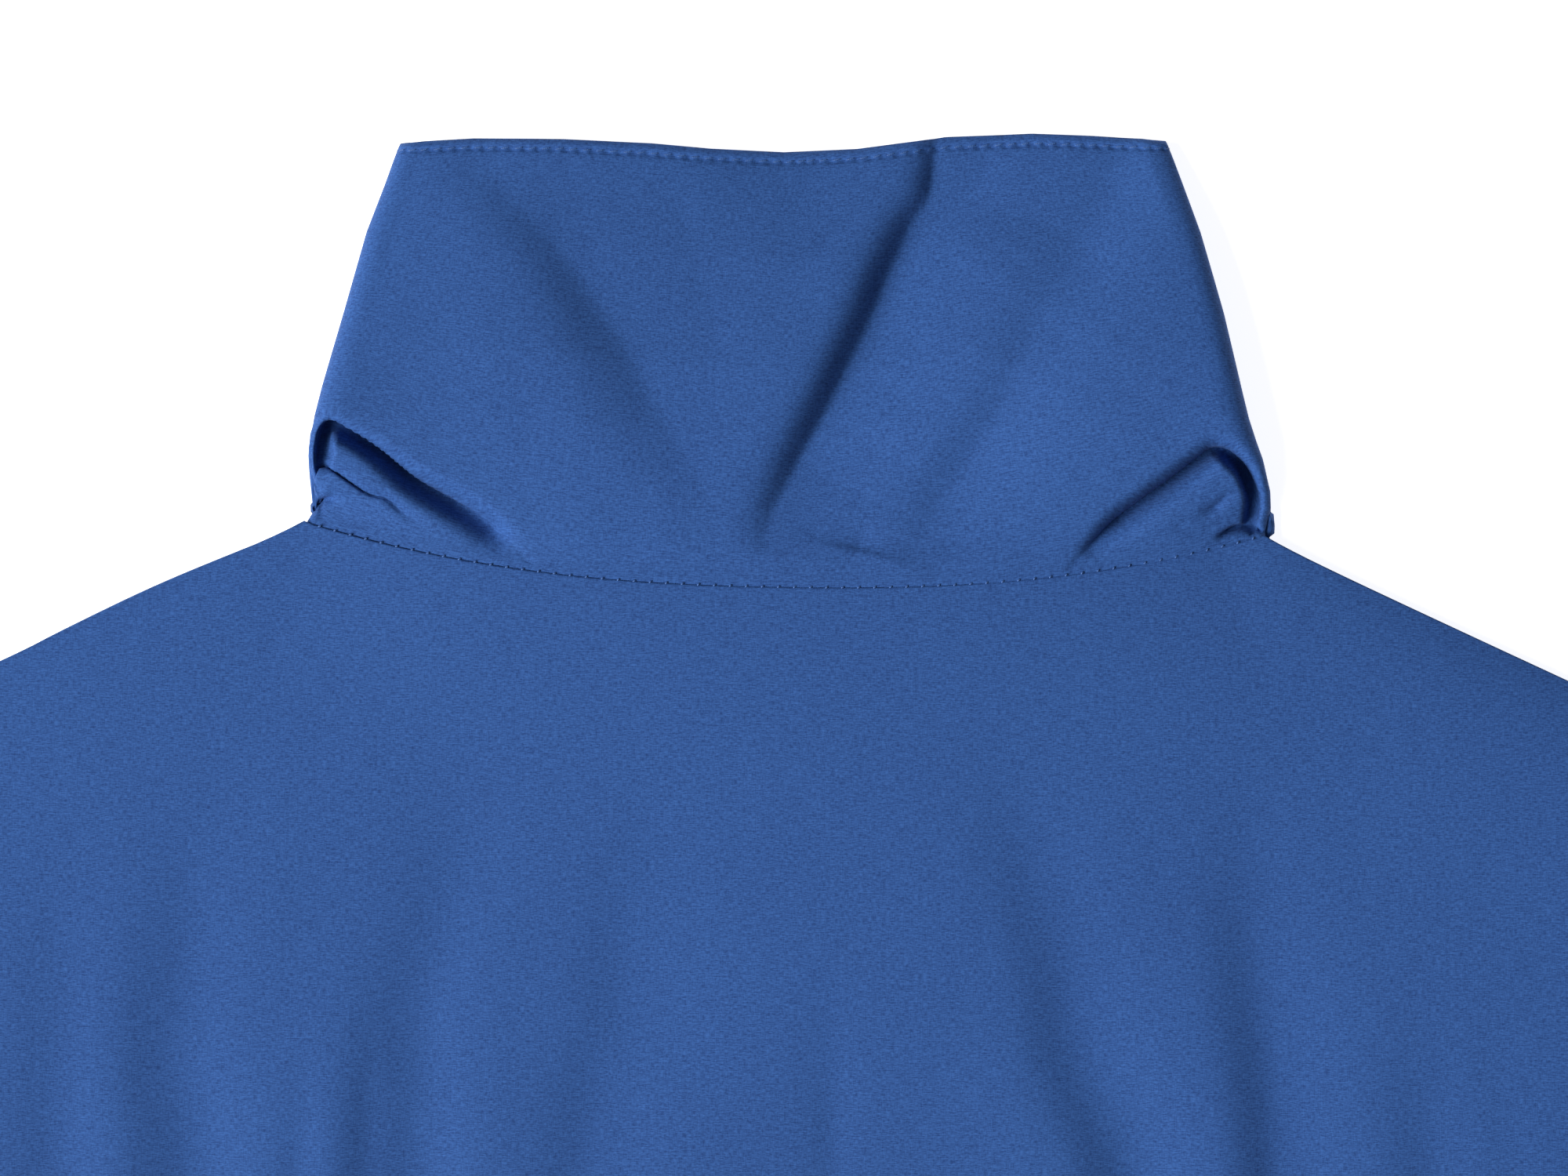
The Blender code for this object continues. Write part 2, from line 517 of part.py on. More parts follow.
# ---------------------------------------------------------------- sleeves and ribbed bands
def tube_ring(plan, heights, inset, lower_points):
    """A flattened ring of a sleeve: upper layer along a plan curve, then back along the lower layer."""
    run = np.diff(plan, axis=0)
    first, last = run[0] / np.linalg.norm(run[0]), run[-1] / np.linalg.norm(run[-1])
    middle = EDGE_TOP / 2
    ring = [(*(plan[0] + first * inset), middle)]
    ring += [(*p, h - inset) for p, h in zip(plan[1:-1], heights[1:-1])]
    ring += [(*(plan[-1] - last * inset), middle)]
    under = resampled(plan, lower_points + 1)[1:-1][::-1]
    ring += [(*p, inset) for p in under]
    return ring


def sleeve(side, finish):
    """One sleeve from the armhole to the cuff, a tube laid flat."""
    armhole = smooth_curve(ARMHOLE, ARMHOLE_ROWS)
    top = smooth_curve(SLEEVE_TOP, SLEEVE_SECTIONS)
    under = smooth_curve(SLEEVE_UNDER, SLEEVE_SECTIONS)
    share = np.linspace(0, 1, ARMHOLE_ROWS + 1)
    bow = armhole - (armhole[0] + share[:, None] * (armhole[-1] - armhole[0]))
    outer, inner = [], []
    for i in range(SLEEVE_SECTIONS + 1):
        fading = max(0.0, 1 - i / (BOW_REACH * SLEEVE_SECTIONS)) ** BOW_CURVE
        plan = top[i] + share[:, None] * (under[i] - top[i]) + bow * fading
        if i == 0:
            run = np.gradient(plan, axis=0)
            normal = np.stack([-run[:, 1], run[:, 0]], axis=1)
            plan = plan + SEAM_GAP * normal / np.linalg.norm(normal, axis=1)[:, None]
        plan = plan * (side, 1)
        heights = np.maximum(upper_height(plan[:, 0], plan[:, 1]), LEAST_RISE)
        to_cuff = np.linalg.norm(plan * (side, 1) - CUFF_CENTRE, axis=1)
        heights[1:-1] += sleeve_gather(share[1:-1], to_cuff[1:-1])
        outer.append(tube_ring(plan, heights, 0.0, UNDER_POINTS))
        inner.append(tube_ring(plan, heights, CLOTH, UNDER_POINTS))
    name = "sleeve_right" if side > 0 else "sleeve_left"
    return wall(name, outer, inner, finish, ring=True)


def sleeve_gather(share, to_cuff):
    """Small pleats just above the cuff."""
    return GATHER_RELIEF * np.cos(share * math.pi * CUFF_GATHERS) * np.exp(-(to_cuff / CUFF_GATHER_RUN) ** 4)


def ribbed(half, height):
    """Columns of a ribbed upper layer: share across from -1 to 1, and height, high and low by turns."""
    ribs = int(2 * half / RIB_PITCH)
    share = np.linspace(-1, 1, 2 * ribs + 1)
    crown = height * (1 - BAND_DROP * np.abs(share) ** BAND_DROP_CURVE)
    relief = RIB_RELIEF * (np.arange(2 * ribs + 1) % 2)
    return share, crown + relief * (np.abs(share) < RIB_EDGE)


def cuff(side, finish):
    """Ribbed cuff, a tube laid flat in line with the sleeve."""
    along = np.array(CUFF_RUN)
    across = np.array((-along[1], along[0]))
    share, height = ribbed(CUFF_HALF[0][1], CUFF_TOP)
    outer, inner = [], []
    for step in np.linspace(0, 1, 4):
        half = float(table(CUFF_HALF, step))
        centre = np.array(CUFF_CENTRE) + along * (SEAM_GAP + CUFF_LENGTH * step)
        plan = (centre + across * half * share[::-1, None]) * (side, 1)
        outer.append(tube_ring(plan, height, 0.0, UNDER_POINTS))
        inner.append(tube_ring(plan, np.full(len(share), CUFF_INNER_TOP), CLOTH, UNDER_POINTS))
    name = "cuff_right" if side > 0 else "cuff_left"
    return wall(name, outer, inner, finish, ring=True)


def waistband(finish):
    """Ribbed band round the hem, open at the centre front for the zip."""
    share, height = ribbed(BAND_HALF[0][1], BAND_TOP)
    outer, inner = [], []
    for step in np.linspace(0, 1, 3):
        half = float(table(BAND_HALF, step))
        y = HEM_Y - SEAM_GAP - BAND_DEPTH * step
        lower_x = np.linspace(FRONT_EDGE, half - BAND_SIDE, 6)
        for ring, inset in ((outer, 0.0), (inner, CLOTH)):
            upper = height if inset == 0 else np.full(len(share), BAND_TOP)
            across = share[1:-1] * half
            points = [(-x, y, inset) for x in lower_x]
            points += [(-(half - inset), y, EDGE_TOP / 2)]
            points += [(x, y, h - inset) for x, h in zip(across, upper[1:-1])]
            points += [(half - inset, y, EDGE_TOP / 2)]
            points += [(x, y, inset) for x in lower_x[::-1]]
            ring.append(points)
    return wall("waistband", outer, inner, finish)


# ---------------------------------------------------------------- zip
def box(name, low, high, finish, bevel=0.0):
    """A block between two corners, in millimetres, with bevelled edges."""
    bm = bmesh.new()
    bmesh.ops.create_cube(bm, size=1.0)
    for v in bm.verts:
        v.co = place([low[k] + (v.co[k] + 0.5) * (high[k] - low[k]) for k in range(3)])
    if bevel:
        bmesh.ops.bevel(bm, geom=bm.edges, offset=bevel * MM, segments=2, affect="EDGES", profile=0.5)
    return new_object(name, bm, finish)


def zip_tape(side, finish):
    low_y = HEM_Y - BAND_DEPTH
    high_y = COLLAR_FRONT_TOP[-1][1] - TAPE_TOP_GAP
    inner_x = CHAIN_HALF + LAYER_GAP
    beside_slider = SLIDER_SIZE[0] / 2 + LAYER_GAP
    under_slider = SLIDER_TOP_Y - SLIDER_SIZE[1] - 1
    outline = np.array([(inner_x, low_y), (TAPE_EDGE, low_y), (TAPE_EDGE, high_y), (beside_slider, high_y),
                        (beside_slider, under_slider), (inner_x, under_slider)])
    name = "zip_tape_right" if side > 0 else "zip_tape_left"
    return flat_piece(name, outline * (side, 1), TAPE_BOTTOM, TAPE_THICKNESS, finish)


def boolean(target, other, operation):
    """Applies a Boolean with another object, which is then removed."""
    cut = target.modifiers.new("join", "BOOLEAN")
    cut.operation = operation
    cut.object = other
    cut.solver = "EXACT"
    bpy.context.view_layer.update()
    evaluated = target.evaluated_get(bpy.context.evaluated_depsgraph_get())
    target.data = bpy.data.meshes.new_from_object(evaluated)
    target.modifiers.clear()
    bpy.data.objects.remove(other)


def zip_slider(finish):
    """Slider body, with a bridge under it that holds the end of the pull tab."""
    width, length, thickness = SLIDER_SIZE
    low_y = SLIDER_TOP_Y - length
    body = box("zip_slider", (-width / 2, low_y, SLIDER_BOTTOM),
               (width / 2, SLIDER_TOP_Y, SLIDER_BOTTOM + thickness), finish, bevel=SLIDER_BEVEL)
    half = BRIDGE_WIDTH / 2
    bridge_bottom = HINGE_Z - BAR_WIDTH / 2 - BRIDGE_PLAY - BRIDGE_THICKNESS
    reach = BAR_WIDTH / 2 + POST_PLAY
    posts = ((HINGE_Y + reach, HINGE_Y + reach + POST_LENGTH),
             (HINGE_Y - reach - POST_LENGTH, HINGE_Y - reach))
    for low, high in posts:
        post = box("post", (-half, low, bridge_bottom), (half, high, SLIDER_BOTTOM + POST_ROOT), finish)
        boolean(body, post, "UNION")
    bar = box("bar", (-half, posts[1][0], bridge_bottom),
              (half, posts[0][1], bridge_bottom + BRIDGE_THICKNESS), finish)
    boolean(body, bar, "UNION")
    return body


def zip_pull(finish):
    """Pull tab: a plate with an eye, whose end bar turns under the slider's bridge, at its origin."""
    top_y = HINGE_Y + BAR_WIDTH / 2
    low_z = HINGE_Z - TAB_THICKNESS / 2
    tab = box("zip_pull", (-TAB_WIDTH / 2, top_y - TAB_LENGTH, low_z),
              (TAB_WIDTH / 2, top_y, low_z + TAB_THICKNESS), finish, bevel=TAB_BEVEL)
    eye = box("eye", (-EYE_WIDTH / 2, top_y - BAR_WIDTH - EYE_LENGTH, low_z - 1),
              (EYE_WIDTH / 2, top_y - BAR_WIDTH, low_z + TAB_THICKNESS + 1), finish)
    boolean(tab, eye, "DIFFERENCE")
    hinge = np.array(place((0, HINGE_Y, HINGE_Z)))
    for v in tab.data.vertices:
        v.co = np.array(v.co) - hinge
    tab.location = hinge
    return tab


# ---------------------------------------------------------------- the jacket
def main():
    for old in list(bpy.data.objects):
        bpy.data.objects.remove(old)
    cloth = material("cloth", CLOTH_BLUE, 0.8)
    rib = material("rib_knit", RIB_BLUE, 0.9)
    tape = material("zip_tape", TAPE_BLUE, 0.85)
    metal = material("zip_metal", NICKEL, 0.3, 1.0)

    back_panel(cloth)
    collar(cloth)
    waistband(rib)
    for side in (-1, 1):
        front_panel(side, cloth)
        sleeve(side, cloth)
        cuff(side, rib)
        zip_tape(side, tape)
    box("zip_chain", (-CHAIN_HALF, HEM_Y - BAND_DEPTH, CHAIN_BOTTOM),
        (CHAIN_HALF, SLIDER_TOP_Y - SLIDER_SIZE[1] - LAYER_GAP, CHAIN_TOP), metal)
    zip_slider(metal)
    zip_pull(metal)


main()
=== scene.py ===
"""Blue flight jacket with a tall stand collar, zipped up and laid face down on a pale surface, seen from
straight above the back of its neck. Lengths are in millimetres, measured on the plan from the middle of the
back neck seam, and to_frame() moves them to the frame in metres. The board and the lamp are in metres.
"""

import math
from collections import namedtuple

import bpy
import numpy as np
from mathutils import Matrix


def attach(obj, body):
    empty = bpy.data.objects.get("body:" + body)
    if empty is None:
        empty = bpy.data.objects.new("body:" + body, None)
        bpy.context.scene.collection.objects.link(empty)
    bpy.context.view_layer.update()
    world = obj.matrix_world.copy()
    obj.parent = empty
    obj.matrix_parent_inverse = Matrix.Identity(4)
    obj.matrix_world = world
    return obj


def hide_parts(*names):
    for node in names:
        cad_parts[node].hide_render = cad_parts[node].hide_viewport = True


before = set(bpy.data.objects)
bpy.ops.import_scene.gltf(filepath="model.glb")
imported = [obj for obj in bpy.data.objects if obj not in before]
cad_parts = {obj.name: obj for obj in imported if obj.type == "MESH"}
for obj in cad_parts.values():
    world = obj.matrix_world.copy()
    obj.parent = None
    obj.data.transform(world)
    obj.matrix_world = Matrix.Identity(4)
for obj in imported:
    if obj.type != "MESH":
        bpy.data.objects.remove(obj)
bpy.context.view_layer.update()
bpy.ops.object.select_all(action="DESELECT")


# ---------- camera
# The jacket lies on its front, and the lens looks straight down at the back of the neck. The picture is
# cropped close: it takes in the collar and a hand's breadth of the back below it.
MM = 0.001
NECK_SEAM_Y = 281.55         # back neck seam above the frame's origin
COLLAR_LEVEL = 9.0           # height of the cloth whose scale the picture's width is given at
PICTURE_WIDTH = 307.7
PICTURE_DROP = 0.3           # from the neck seam to the middle of the picture
LENS = 135.0
SENSOR = 36.0
FAR_CLIP = 20.0              # metres


def new_object(name, data):
    """An object in the scene, with this data."""
    made = bpy.data.objects.new(name, data)
    bpy.context.scene.collection.objects.link(made)
    return made


camera = new_object("camera", bpy.data.cameras.new("camera"))
camera.data.lens = LENS
camera.data.sensor_width = SENSOR
camera.data.clip_end = FAR_CLIP
camera.location = (0.0, (NECK_SEAM_Y - PICTURE_DROP) * MM,
                   (PICTURE_WIDTH * LENS / SENSOR + COLLAR_LEVEL) * MM)
bpy.context.scene.camera = camera


# ---------- surface and light
# A white board lit from inside and evenly from all round, and one wide soft lamp on the lower left. It leaves
# the upper and right-hand flanks of the folds darker, and a faint shadow on the board beside the collar.
FLOOR_SIZE = 20.0
FLOOR_LEVEL = -0.0002        # just under the cloth
WHITE = (1.0, 1.0, 1.0, 1.0)
FLOOR_WHITE = (0.93, 0.93, 0.93, 1.0)
FLOOR_GLOW = 0.85            # light from inside the board, as on a light table
SKY_STRENGTH = 0.14
LAMP_SIZE = 3.4
LAMP_PLACE = (-3.8, -1.11, 3.4)
LAMP_POWER = 467.0


def set_sockets(node, values):
    """Sets a node's sockets to constants, or links them to the output that is given."""
    for socket, value in values.items():
        if isinstance(value, bpy.types.NodeSocket):
            node.id_data.links.new(value, node.inputs[socket])
        else:
            node.inputs[socket].default_value = value


def new_material(name):
    """A new material with a shader."""
    made = bpy.data.materials.new(name)
    made.use_nodes = True
    return made


def set_shader(made, values):
    """Sets or links the sockets of a material's shader."""
    set_sockets(made.node_tree.nodes["Principled BSDF"], values)


bpy.ops.mesh.primitive_plane_add(size=FLOOR_SIZE, location=(0, 0, FLOOR_LEVEL))
floor = bpy.context.object
floor.name = "floor"
board = new_material("white_board")
set_shader(board, {"Base Color": FLOOR_WHITE, "Roughness": 0.9, "Specular IOR Level": 0.0,
                   "Emission Color": WHITE, "Emission Strength": FLOOR_GLOW})
floor.data.materials.append(board)

sky = bpy.data.worlds.new("sky")
sky.use_nodes = True
set_sockets(sky.node_tree.nodes["Background"], {"Color": WHITE, "Strength": SKY_STRENGTH})
bpy.context.scene.world = sky

lamp = new_object("soft_lamp", bpy.data.lights.new("soft_lamp", "AREA"))
lamp.data.shape = "SQUARE"
lamp.data.size = LAMP_SIZE
lamp.data.energy = LAMP_POWER
lamp.location = LAMP_PLACE
towards = -lamp.location.copy()
towards.y += NECK_SEAM_Y * MM
lamp.rotation_euler = towards.to_track_quat("-Z", "Y").to_euler()
bpy.context.scene.view_settings.view_transform = "Standard"
bpy.context.scene.view_settings.look = "None"


# ---------- collar
# A tall stand collar of two plies, cut as one strip and sewn to the neck. Laid flat, it folds at each side
# and buckles at its base, where the shoulder pushes it up. Its top edge is turned, and stitched 2 mm from
# the fold.
CLOTH = 0.9                  # thickness of a shell of cloth
STITCH = 3.15                # length of one stitch
NECK_HALF = 94.5             # neck side point from the middle
NECK_RISE = 11.5
NECK_CURVE = 2.4
TILT = 0.016                 # the neck lies a little askew, left side up
TILT_REACH = 300.0
EDGE_TOP = 3.3               # height of two layers of cloth
CLOTH_DARK = (0.0145, 0.049, 0.180, 1.0)
CLOTH_LIGHT = (0.039, 0.119, 0.365, 1.0)
SHEEN_TINT = (0.45, 0.6, 1.0, 1.0)
SEAM_LEVEL = (4.8, 8.2)      # height of the neck seam at its ends and in its middle
# height up the side, and half width on the left and on the right
COLLAR_SIDE = ((11, 94.4, 94.9), (14, 92.6, 95.4), (16.6, 92.2, 96), (19.7, 93, 95.8),
               (25.8, 93.7, 94.2), (28.9, 93.4, 93), (33.5, 92, 91.4), (38.2, 90.8, 90.2), (53.5, 86.4, 86.5),
               (68.9, 82.1, 82), (78.2, 78.6, 78.6), (86.8, 75.6, 75.4))
COLLAR_TOP = ((-75.2, 86.4), (-64.6, 87.1), (-46, 87.2), (-27.7, 86.7), (-15.4, 85.9), (0, 85.5),
              (15.4, 86.4), (27.7, 88.1), (33.8, 89.1), (52, 90), (64.6, 89.7), (75.2, 89.2))
CORNER_DROP = 0.3            # rounding of the top corners
CORNER_SHARE = 0.06          # of the collar's height, over which they round
COLLAR_FOLD_HEIGHT = ((0, 3.9), (0.05, 5.4), (0.12, 8.6), (0.2, 11.2), (0.3, 12.8), (0.45, 12.8), (0.7, 11.6),
                      (1, 9.4))
COLLAR_BACK_HEIGHT = ((0, 8.2), (0.1, 9.2), (0.2, 10.4), (0.35, 12.2), (0.5, 13.1), (0.75, 12.4), (1, 10.4))
FRONT_NECK = ((94.5, 12), (92.5, -15), (82, -47), (62, -73), (35, -90), (4.3, -95))
COLLAR_FRONT_TOP = ((75.2, 86.8), (52, 66), (30, 38), (14, 10), (4.3, -8))
COLLAR_HEIGHT = 78.0         # of the strip, from the seam to the folded edge
MIDDLE_COLUMNS = 128         # across the plain middle of the back of the collar
SIDE_COLUMNS = 94            # across each side of it, where it buckles
SIDE_START = 0.52            # where those sides start, as a share of its half width
TURN_SQUARENESS = 0.7        # of a side fold, 1 if it is round
TURN_COLUMNS = 36            # round each side fold
FLAP_COLUMNS = 16            # along each front half
FLAP_START = 0.1             # where the side fold ends, as a share of the front half
EDGE_BAND = 2.0              # from the folded top edge to its stitching
LOWEST_TUCK = 1.6            # height of the lowest cloth in a tuck
LIP = (0.9, 0.8)             # place and width of the lip that hangs over a tuck
HEEL = (0.5, 0.4, 0.6)       # share, place and width of the cloth drawn in under it
LEAVING = 0.1                # share of the collar's height over which it leaves the seam's level
FADING = (0.006, 0.02)       # where the tucks start above the seam, and over what share of the height
# height and half width of what the sewing does to the edge and to the seam
PUFF = (0.2, 0.7)            # the turned edge, between its fold and its stitching
GROOVE = (0.55, 0.42)        # under the stitching
ROLL = (0.45, 0.55)          # at the fold itself
DITCH = (0.1, 0.6)           # along the neck seam
RUMPLE = (0.12, 9.0, 3)      # height, size and seed of the cloth's slight unevenness
ALLOWANCE = (0, 0.4, 0)      # what is turned in below the seam, and where the collar stands high
HIGH_ALLOWANCE = (0, 0.6, 0.9)

# A fold follows a path on the plan. Its depths are the heights it adds, below zero for a trough, at even
# steps of the path. Its widths are those of its flanks to the left and right of someone walking along the
# path, and its roundness is 2 for a soft fold and less for a crisp one.
Fold = namedtuple("Fold", "path depths left_width right_width roundness", defaults=(2.0,))
# A tuck is a fold whose high side hangs over its low side. Its depths, the widths of its flanks and the
# crispness of its low one are given at shares of its path, and its high side is 1 on the left of the path and
# -1 on the right.
Tuck = namedtuple("Tuck", "path shares depths low_widths crispness high_widths overhangs high_side")

COLLAR_FOLDS = (
    # crease from the top edge to the neck seam, widest near the top
    Fold(((31.6, 88), (29.8, 77.5), (25.2, 70.5), (20.8, 62), (17.6, 54), (13.8, 46), (9, 36), (2.6, 24),
        (-2.6, 13), (-3.6, 6)), (-3.6, -5, -5.8, -6.2, -6.4, -6.4, -6, -4.8, -2.5, -0.3), 22, 3.4, 1.5),
    # hollow between the two bulges of the collar, deepest at the top edge
    Fold(((10, 94), (8, 66), (6, 34)), (-5.6, -2.4, -0.2), 34, 32),
    # left bulge, and its flank, which falls into that hollow
    Fold(((-53, 66), (-47, 46), (-38, 28)), (0.6, 1, 0.6), 9, 18),
    Fold(((-57, 80), (-47.5, 70), (-41, 62.6), (-34.5, 53), (-29.5, 45.5), (-24, 35.1), (-17, 22.8),
        (-14.5, 15)), (-0.9, -1.6, -1.9, -2, -1.9, -1.6, -1.1, -0.4), 38, 6.2, 1.7),
    # wide flank on the right, which falls towards the top edge
    Fold(((68, 94), (62, 79), (56.5, 67), (50.5, 56), (45, 44)), (-5, -4.8, -3.8, -1.6, -0.2), 12, 26, 1.8),
    # trough that carries it on to the neck seam
    Fold(((55, 60), (50.6, 53.5), (46.6, 44), (42.2, 34), (37.2, 26.5), (31, 16.6), (27, 9)), (-0.3, -0.9,
        -1.3, -1.8, -2.1, -1.7, -0.6), 11, 5.4, 1.7),
    # faint creases in the middle
    Fold(((-19.8, 73.4), (-16, 61), (-13.2, 49.1)), (-0.15, -0.1), 2.6, 4, 1.4),
    Fold(((17.5, 74.6), (12.2, 70.8), (6.8, 67.2), (1.5, 63.6)), (-0.1, -0.5, -0.5, -0.1), 0.9, 0.9, 1.6),
    Fold(((16.6, 14), (15.4, 10), (13.6, 5.6)), (-0.1, -0.5, -0.3), 3, 3.4, 1.6),
)
COLLAR_TUCKS = (
    # left base: down the slot behind the side fold, over its corner and along the arc
    Tuck(((-91.8, 20), (-92, 25), (-91.4, 29.4), (-89.4, 31.6), (-86, 30.6), (-79, 26.2), (-72.2, 20.6),
        (-64.6, 16), (-57.8, 11.4), (-53.4, 7.4)), (0, 0.08, 0.2, 0.28, 0.5, 0.75, 0.9, 1), (0.5, 5.5, 7.5,
        7.5, 7.8, 7, 4.8, 0.5), (2.4, 3.1, 3.1, 2.8, 2.8, 3.2, 3.2, 3), (5, 6, 5, 3, 2, 2, 2, 2), (0.5, 0.5,
        0.5, 0.6, 1, 1.5, 1.6, 1.6), (0.2, 0.4, 0.9, 1.4, 1.4, 1, 0.3, 0), 1),
    # right base
    Tuck(((58.6, 7.2), (64.6, 13.8), (70.8, 18.8), (77.1, 23.6), (81.3, 27), (84, 28.8), (87.2, 28.6),
        (90.8, 25.6), (92.9, 21.6), (93.6, 18), (93.2, 14.8)), (0, 0.2, 0.5, 0.68, 0.85, 1), (0.8, 7, 8.8,
        8.6, 8, 4.5), (2.4, 2.5, 2.5, 2.6, 2.7, 2.6), (1.5, 1.6, 1.8, 2.6, 5, 5), (1.3, 1.1, 1, 0.9, 0.8,
        0.6), (0.2, 0.8, 1.1, 1.2, 0.9, 0.4), 1),
    # lower flap on the left, whose corner laps over the slot
    Tuck(((-93, 17), (-91.4, 21.6), (-89.6, 21.8), (-82.3, 17.2), (-78.3, 16.1), (-75.2, 13.7),
        (-71.2, 11.1)), (0, 0.2, 0.5, 0.8, 1), (0.3, 2.4, 1.8, 1.2, 0.1), (0.8, 0.9, 0.9, 1, 1.2), (2, 2, 2,
        2, 2), (0.4, 0.4, 0.5, 0.7, 0.8), (0.3, 0.9, 0.6, 0.2, 0), -1),
    # notch under it, at the very side
    Tuck(((-92.9, 14.6), (-90.5, 16.2), (-88, 16.2)), (0, 0.5, 1), (3.6, 3.2, 0.3), (1.1, 1.1, 1), (3, 3, 2),
        (0.5, 0.5, 0.5), (0.8, 0.6, 0.1), 1),
    # lowest tuck on the right, and the short crease above it
    Tuck(((85, 10.6), (88.5, 13.2), (91.9, 13.4), (94.8, 11.9)), (0, 0.4, 0.8, 1), (0.5, 4, 4, 2), (1.1, 1.2,
        1.2, 1), (2, 2, 2, 2), (0.6, 0.5, 0.5, 0.5), (0.1, 0.6, 0.6, 0.4), 1),
    Tuck(((81.5, 15.2), (85.4, 17.4), (87.7, 19.6)), (0, 0.5, 1), (0.2, 1.6, 0.3), (1.2, 1, 1), (2, 2, 2), (1,
        0.9, 0.8), (0, 0.2, 0), 1),
)


def smooth_curve(points, count):
    """count + 1 points, evenly spaced, on a Catmull-Rom curve through the given points."""
    known = np.array(points, float)
    padded = np.vstack([2 * known[0] - known[1], known, 2 * known[-1] - known[-2]])
    fine = [known[0]]
    for i in range(len(known) - 1):
        p0, p1, p2, p3 = padded[i:i + 4]
        for t in np.linspace(0, 1, 25)[1:]:
            fine.append(0.5 * (2 * p1 + (p2 - p0) * t + (2 * p0 - 5 * p1 + 4 * p2 - p3) * t ** 2
                               + (3 * p1 - p0 - 3 * p2 + p3) * t ** 3))
    return at_shares(np.array(fine), np.linspace(0, 1, count + 1))


def lengths_along(points):
    """Length along a line of points, from its first one."""
    return np.concatenate([[0], np.cumsum(np.linalg.norm(np.diff(points, axis=0), axis=1))])


def plan_line(x, y):
    """Plan points with these x, and these y or this one y."""
    return np.column_stack(np.broadcast_arrays(x, y))


def at_shares(line, shares):
    """Points of a polyline at shares of its length."""
    lengths = lengths_along(line)
    wanted = np.asarray(shares) * lengths[-1]
    return np.stack([np.interp(wanted, lengths, line[:, k]) for k in range(line.shape[1])], axis=1)


def read_table(rows, at, column=1):
    """Value of a table's column, on straight lines between its rows, at a value of its first column."""
    known = np.array(rows, float)
    return np.interp(at, known[:, 0], known[:, column])


def bell(gap, width, power=2):
    """1 at no gap, and falling smoothly to 0 beyond the width."""
    return np.exp(-(gap / width) ** power)


def eased(share):
    """A share from 0 to 1 that starts and ends softly."""
    return share * share * (3 - 2 * share)


def nearest_on(path, points):
    """For each point: distance to the path, share of the way along it, its side of the path from +1 on the
    left to -1 on the right, and the direction from the path to it."""
    best = np.full(len(points), np.inf)
    along = np.zeros(len(points))
    side = np.zeros(len(points))
    away = np.zeros((len(points), 2))
    lengths = lengths_along(path)
    for i in range(len(path) - 1):
        start, run = path[i], path[i + 1] - path[i]
        offset = points - start
        share = np.clip(offset @ run / (run @ run), 0, 1)
        out = offset - share[:, None] * run
        gap = np.linalg.norm(out, axis=1)
        closer = gap < best
        turn = (run[0] * offset[:, 1] - run[1] * offset[:, 0]) / np.maximum(np.linalg.norm(run) * gap, 1e-9)
        best = np.where(closer, gap, best)
        along = np.where(closer, (lengths[i] + share * (lengths[i + 1] - lengths[i])) / lengths[-1], along)
        side = np.where(closer, np.clip(turn, -1, 1), side)
        away = np.where(closer[:, None], out / np.maximum(gap, 1e-9)[:, None], away)
    return best, along, side, away


def fold_height(folds, points):
    """Height that the folds add at each plan point."""
    total = np.zeros(len(points))
    for fold in folds:
        path = smooth_curve(fold.path, 6 * (len(fold.path) - 1))
        reach = 3 * max(fold.left_width, fold.right_width)
        near = np.all((points > path.min(axis=0) - reach) & (points < path.max(axis=0) + reach), axis=1)
        gap, along, side, _ = nearest_on(path, points[near])
        width = fold.right_width + (fold.left_width - fold.right_width) * (1 + side) / 2
        depth = np.interp(along, np.linspace(0, 1, len(fold.depths)), fold.depths)
        total[near] += depth * bell(gap, width, fold.roundness)
    return total


def tucked(points, tucks):
    """Moves points (x, y, z) into the tucks: the low side sinks, and the high side's lip hangs over it."""
    moved = points.copy()
    for tuck in tucks:
        path = smooth_curve(tuck.path, 8 * (len(tuck.path) - 1))
        reach = 4 * max(tuck.low_widths)
        plan = points[:, :2]
        near = np.all((plan > path.min(axis=0) - reach) & (plan < path.max(axis=0) + reach), axis=1)
        gap, along, side, away = nearest_on(path, plan[near])
        depth, low, crisp, high, overhang = (np.interp(along, tuck.shares, row) for row in tuck[2:7])
        facing = np.clip(side * tuck.high_side * 3, -1, 1)
        across = gap * facing
        sunk = np.where(across < 0, bell(np.abs(across), low, crisp), bell(across, high))
        lip = bell(across - LIP[0], LIP[1])
        heel = HEEL[0] * bell(across + HEEL[1], HEEL[2])
        moved[near, :2] += away * (np.sign(across) * (heel - lip) * overhang)[:, None]
        moved[near, 2] -= depth * sunk
    moved[:, 2] = np.maximum(moved[:, 2], np.minimum(points[:, 2], LOWEST_TUCK))
    return moved


def neck_seam(x):
    """Plan height of the back neck seam."""
    return NECK_RISE * np.abs(x / NECK_HALF) ** NECK_CURVE


def seam_level(x):
    """Height of the cloth above the board along the neck seam."""
    return SEAM_LEVEL[0] + (SEAM_LEVEL[1] - SEAM_LEVEL[0]) * (1 - np.clip(np.abs(x) / NECK_HALF, 0, 1) ** 3)


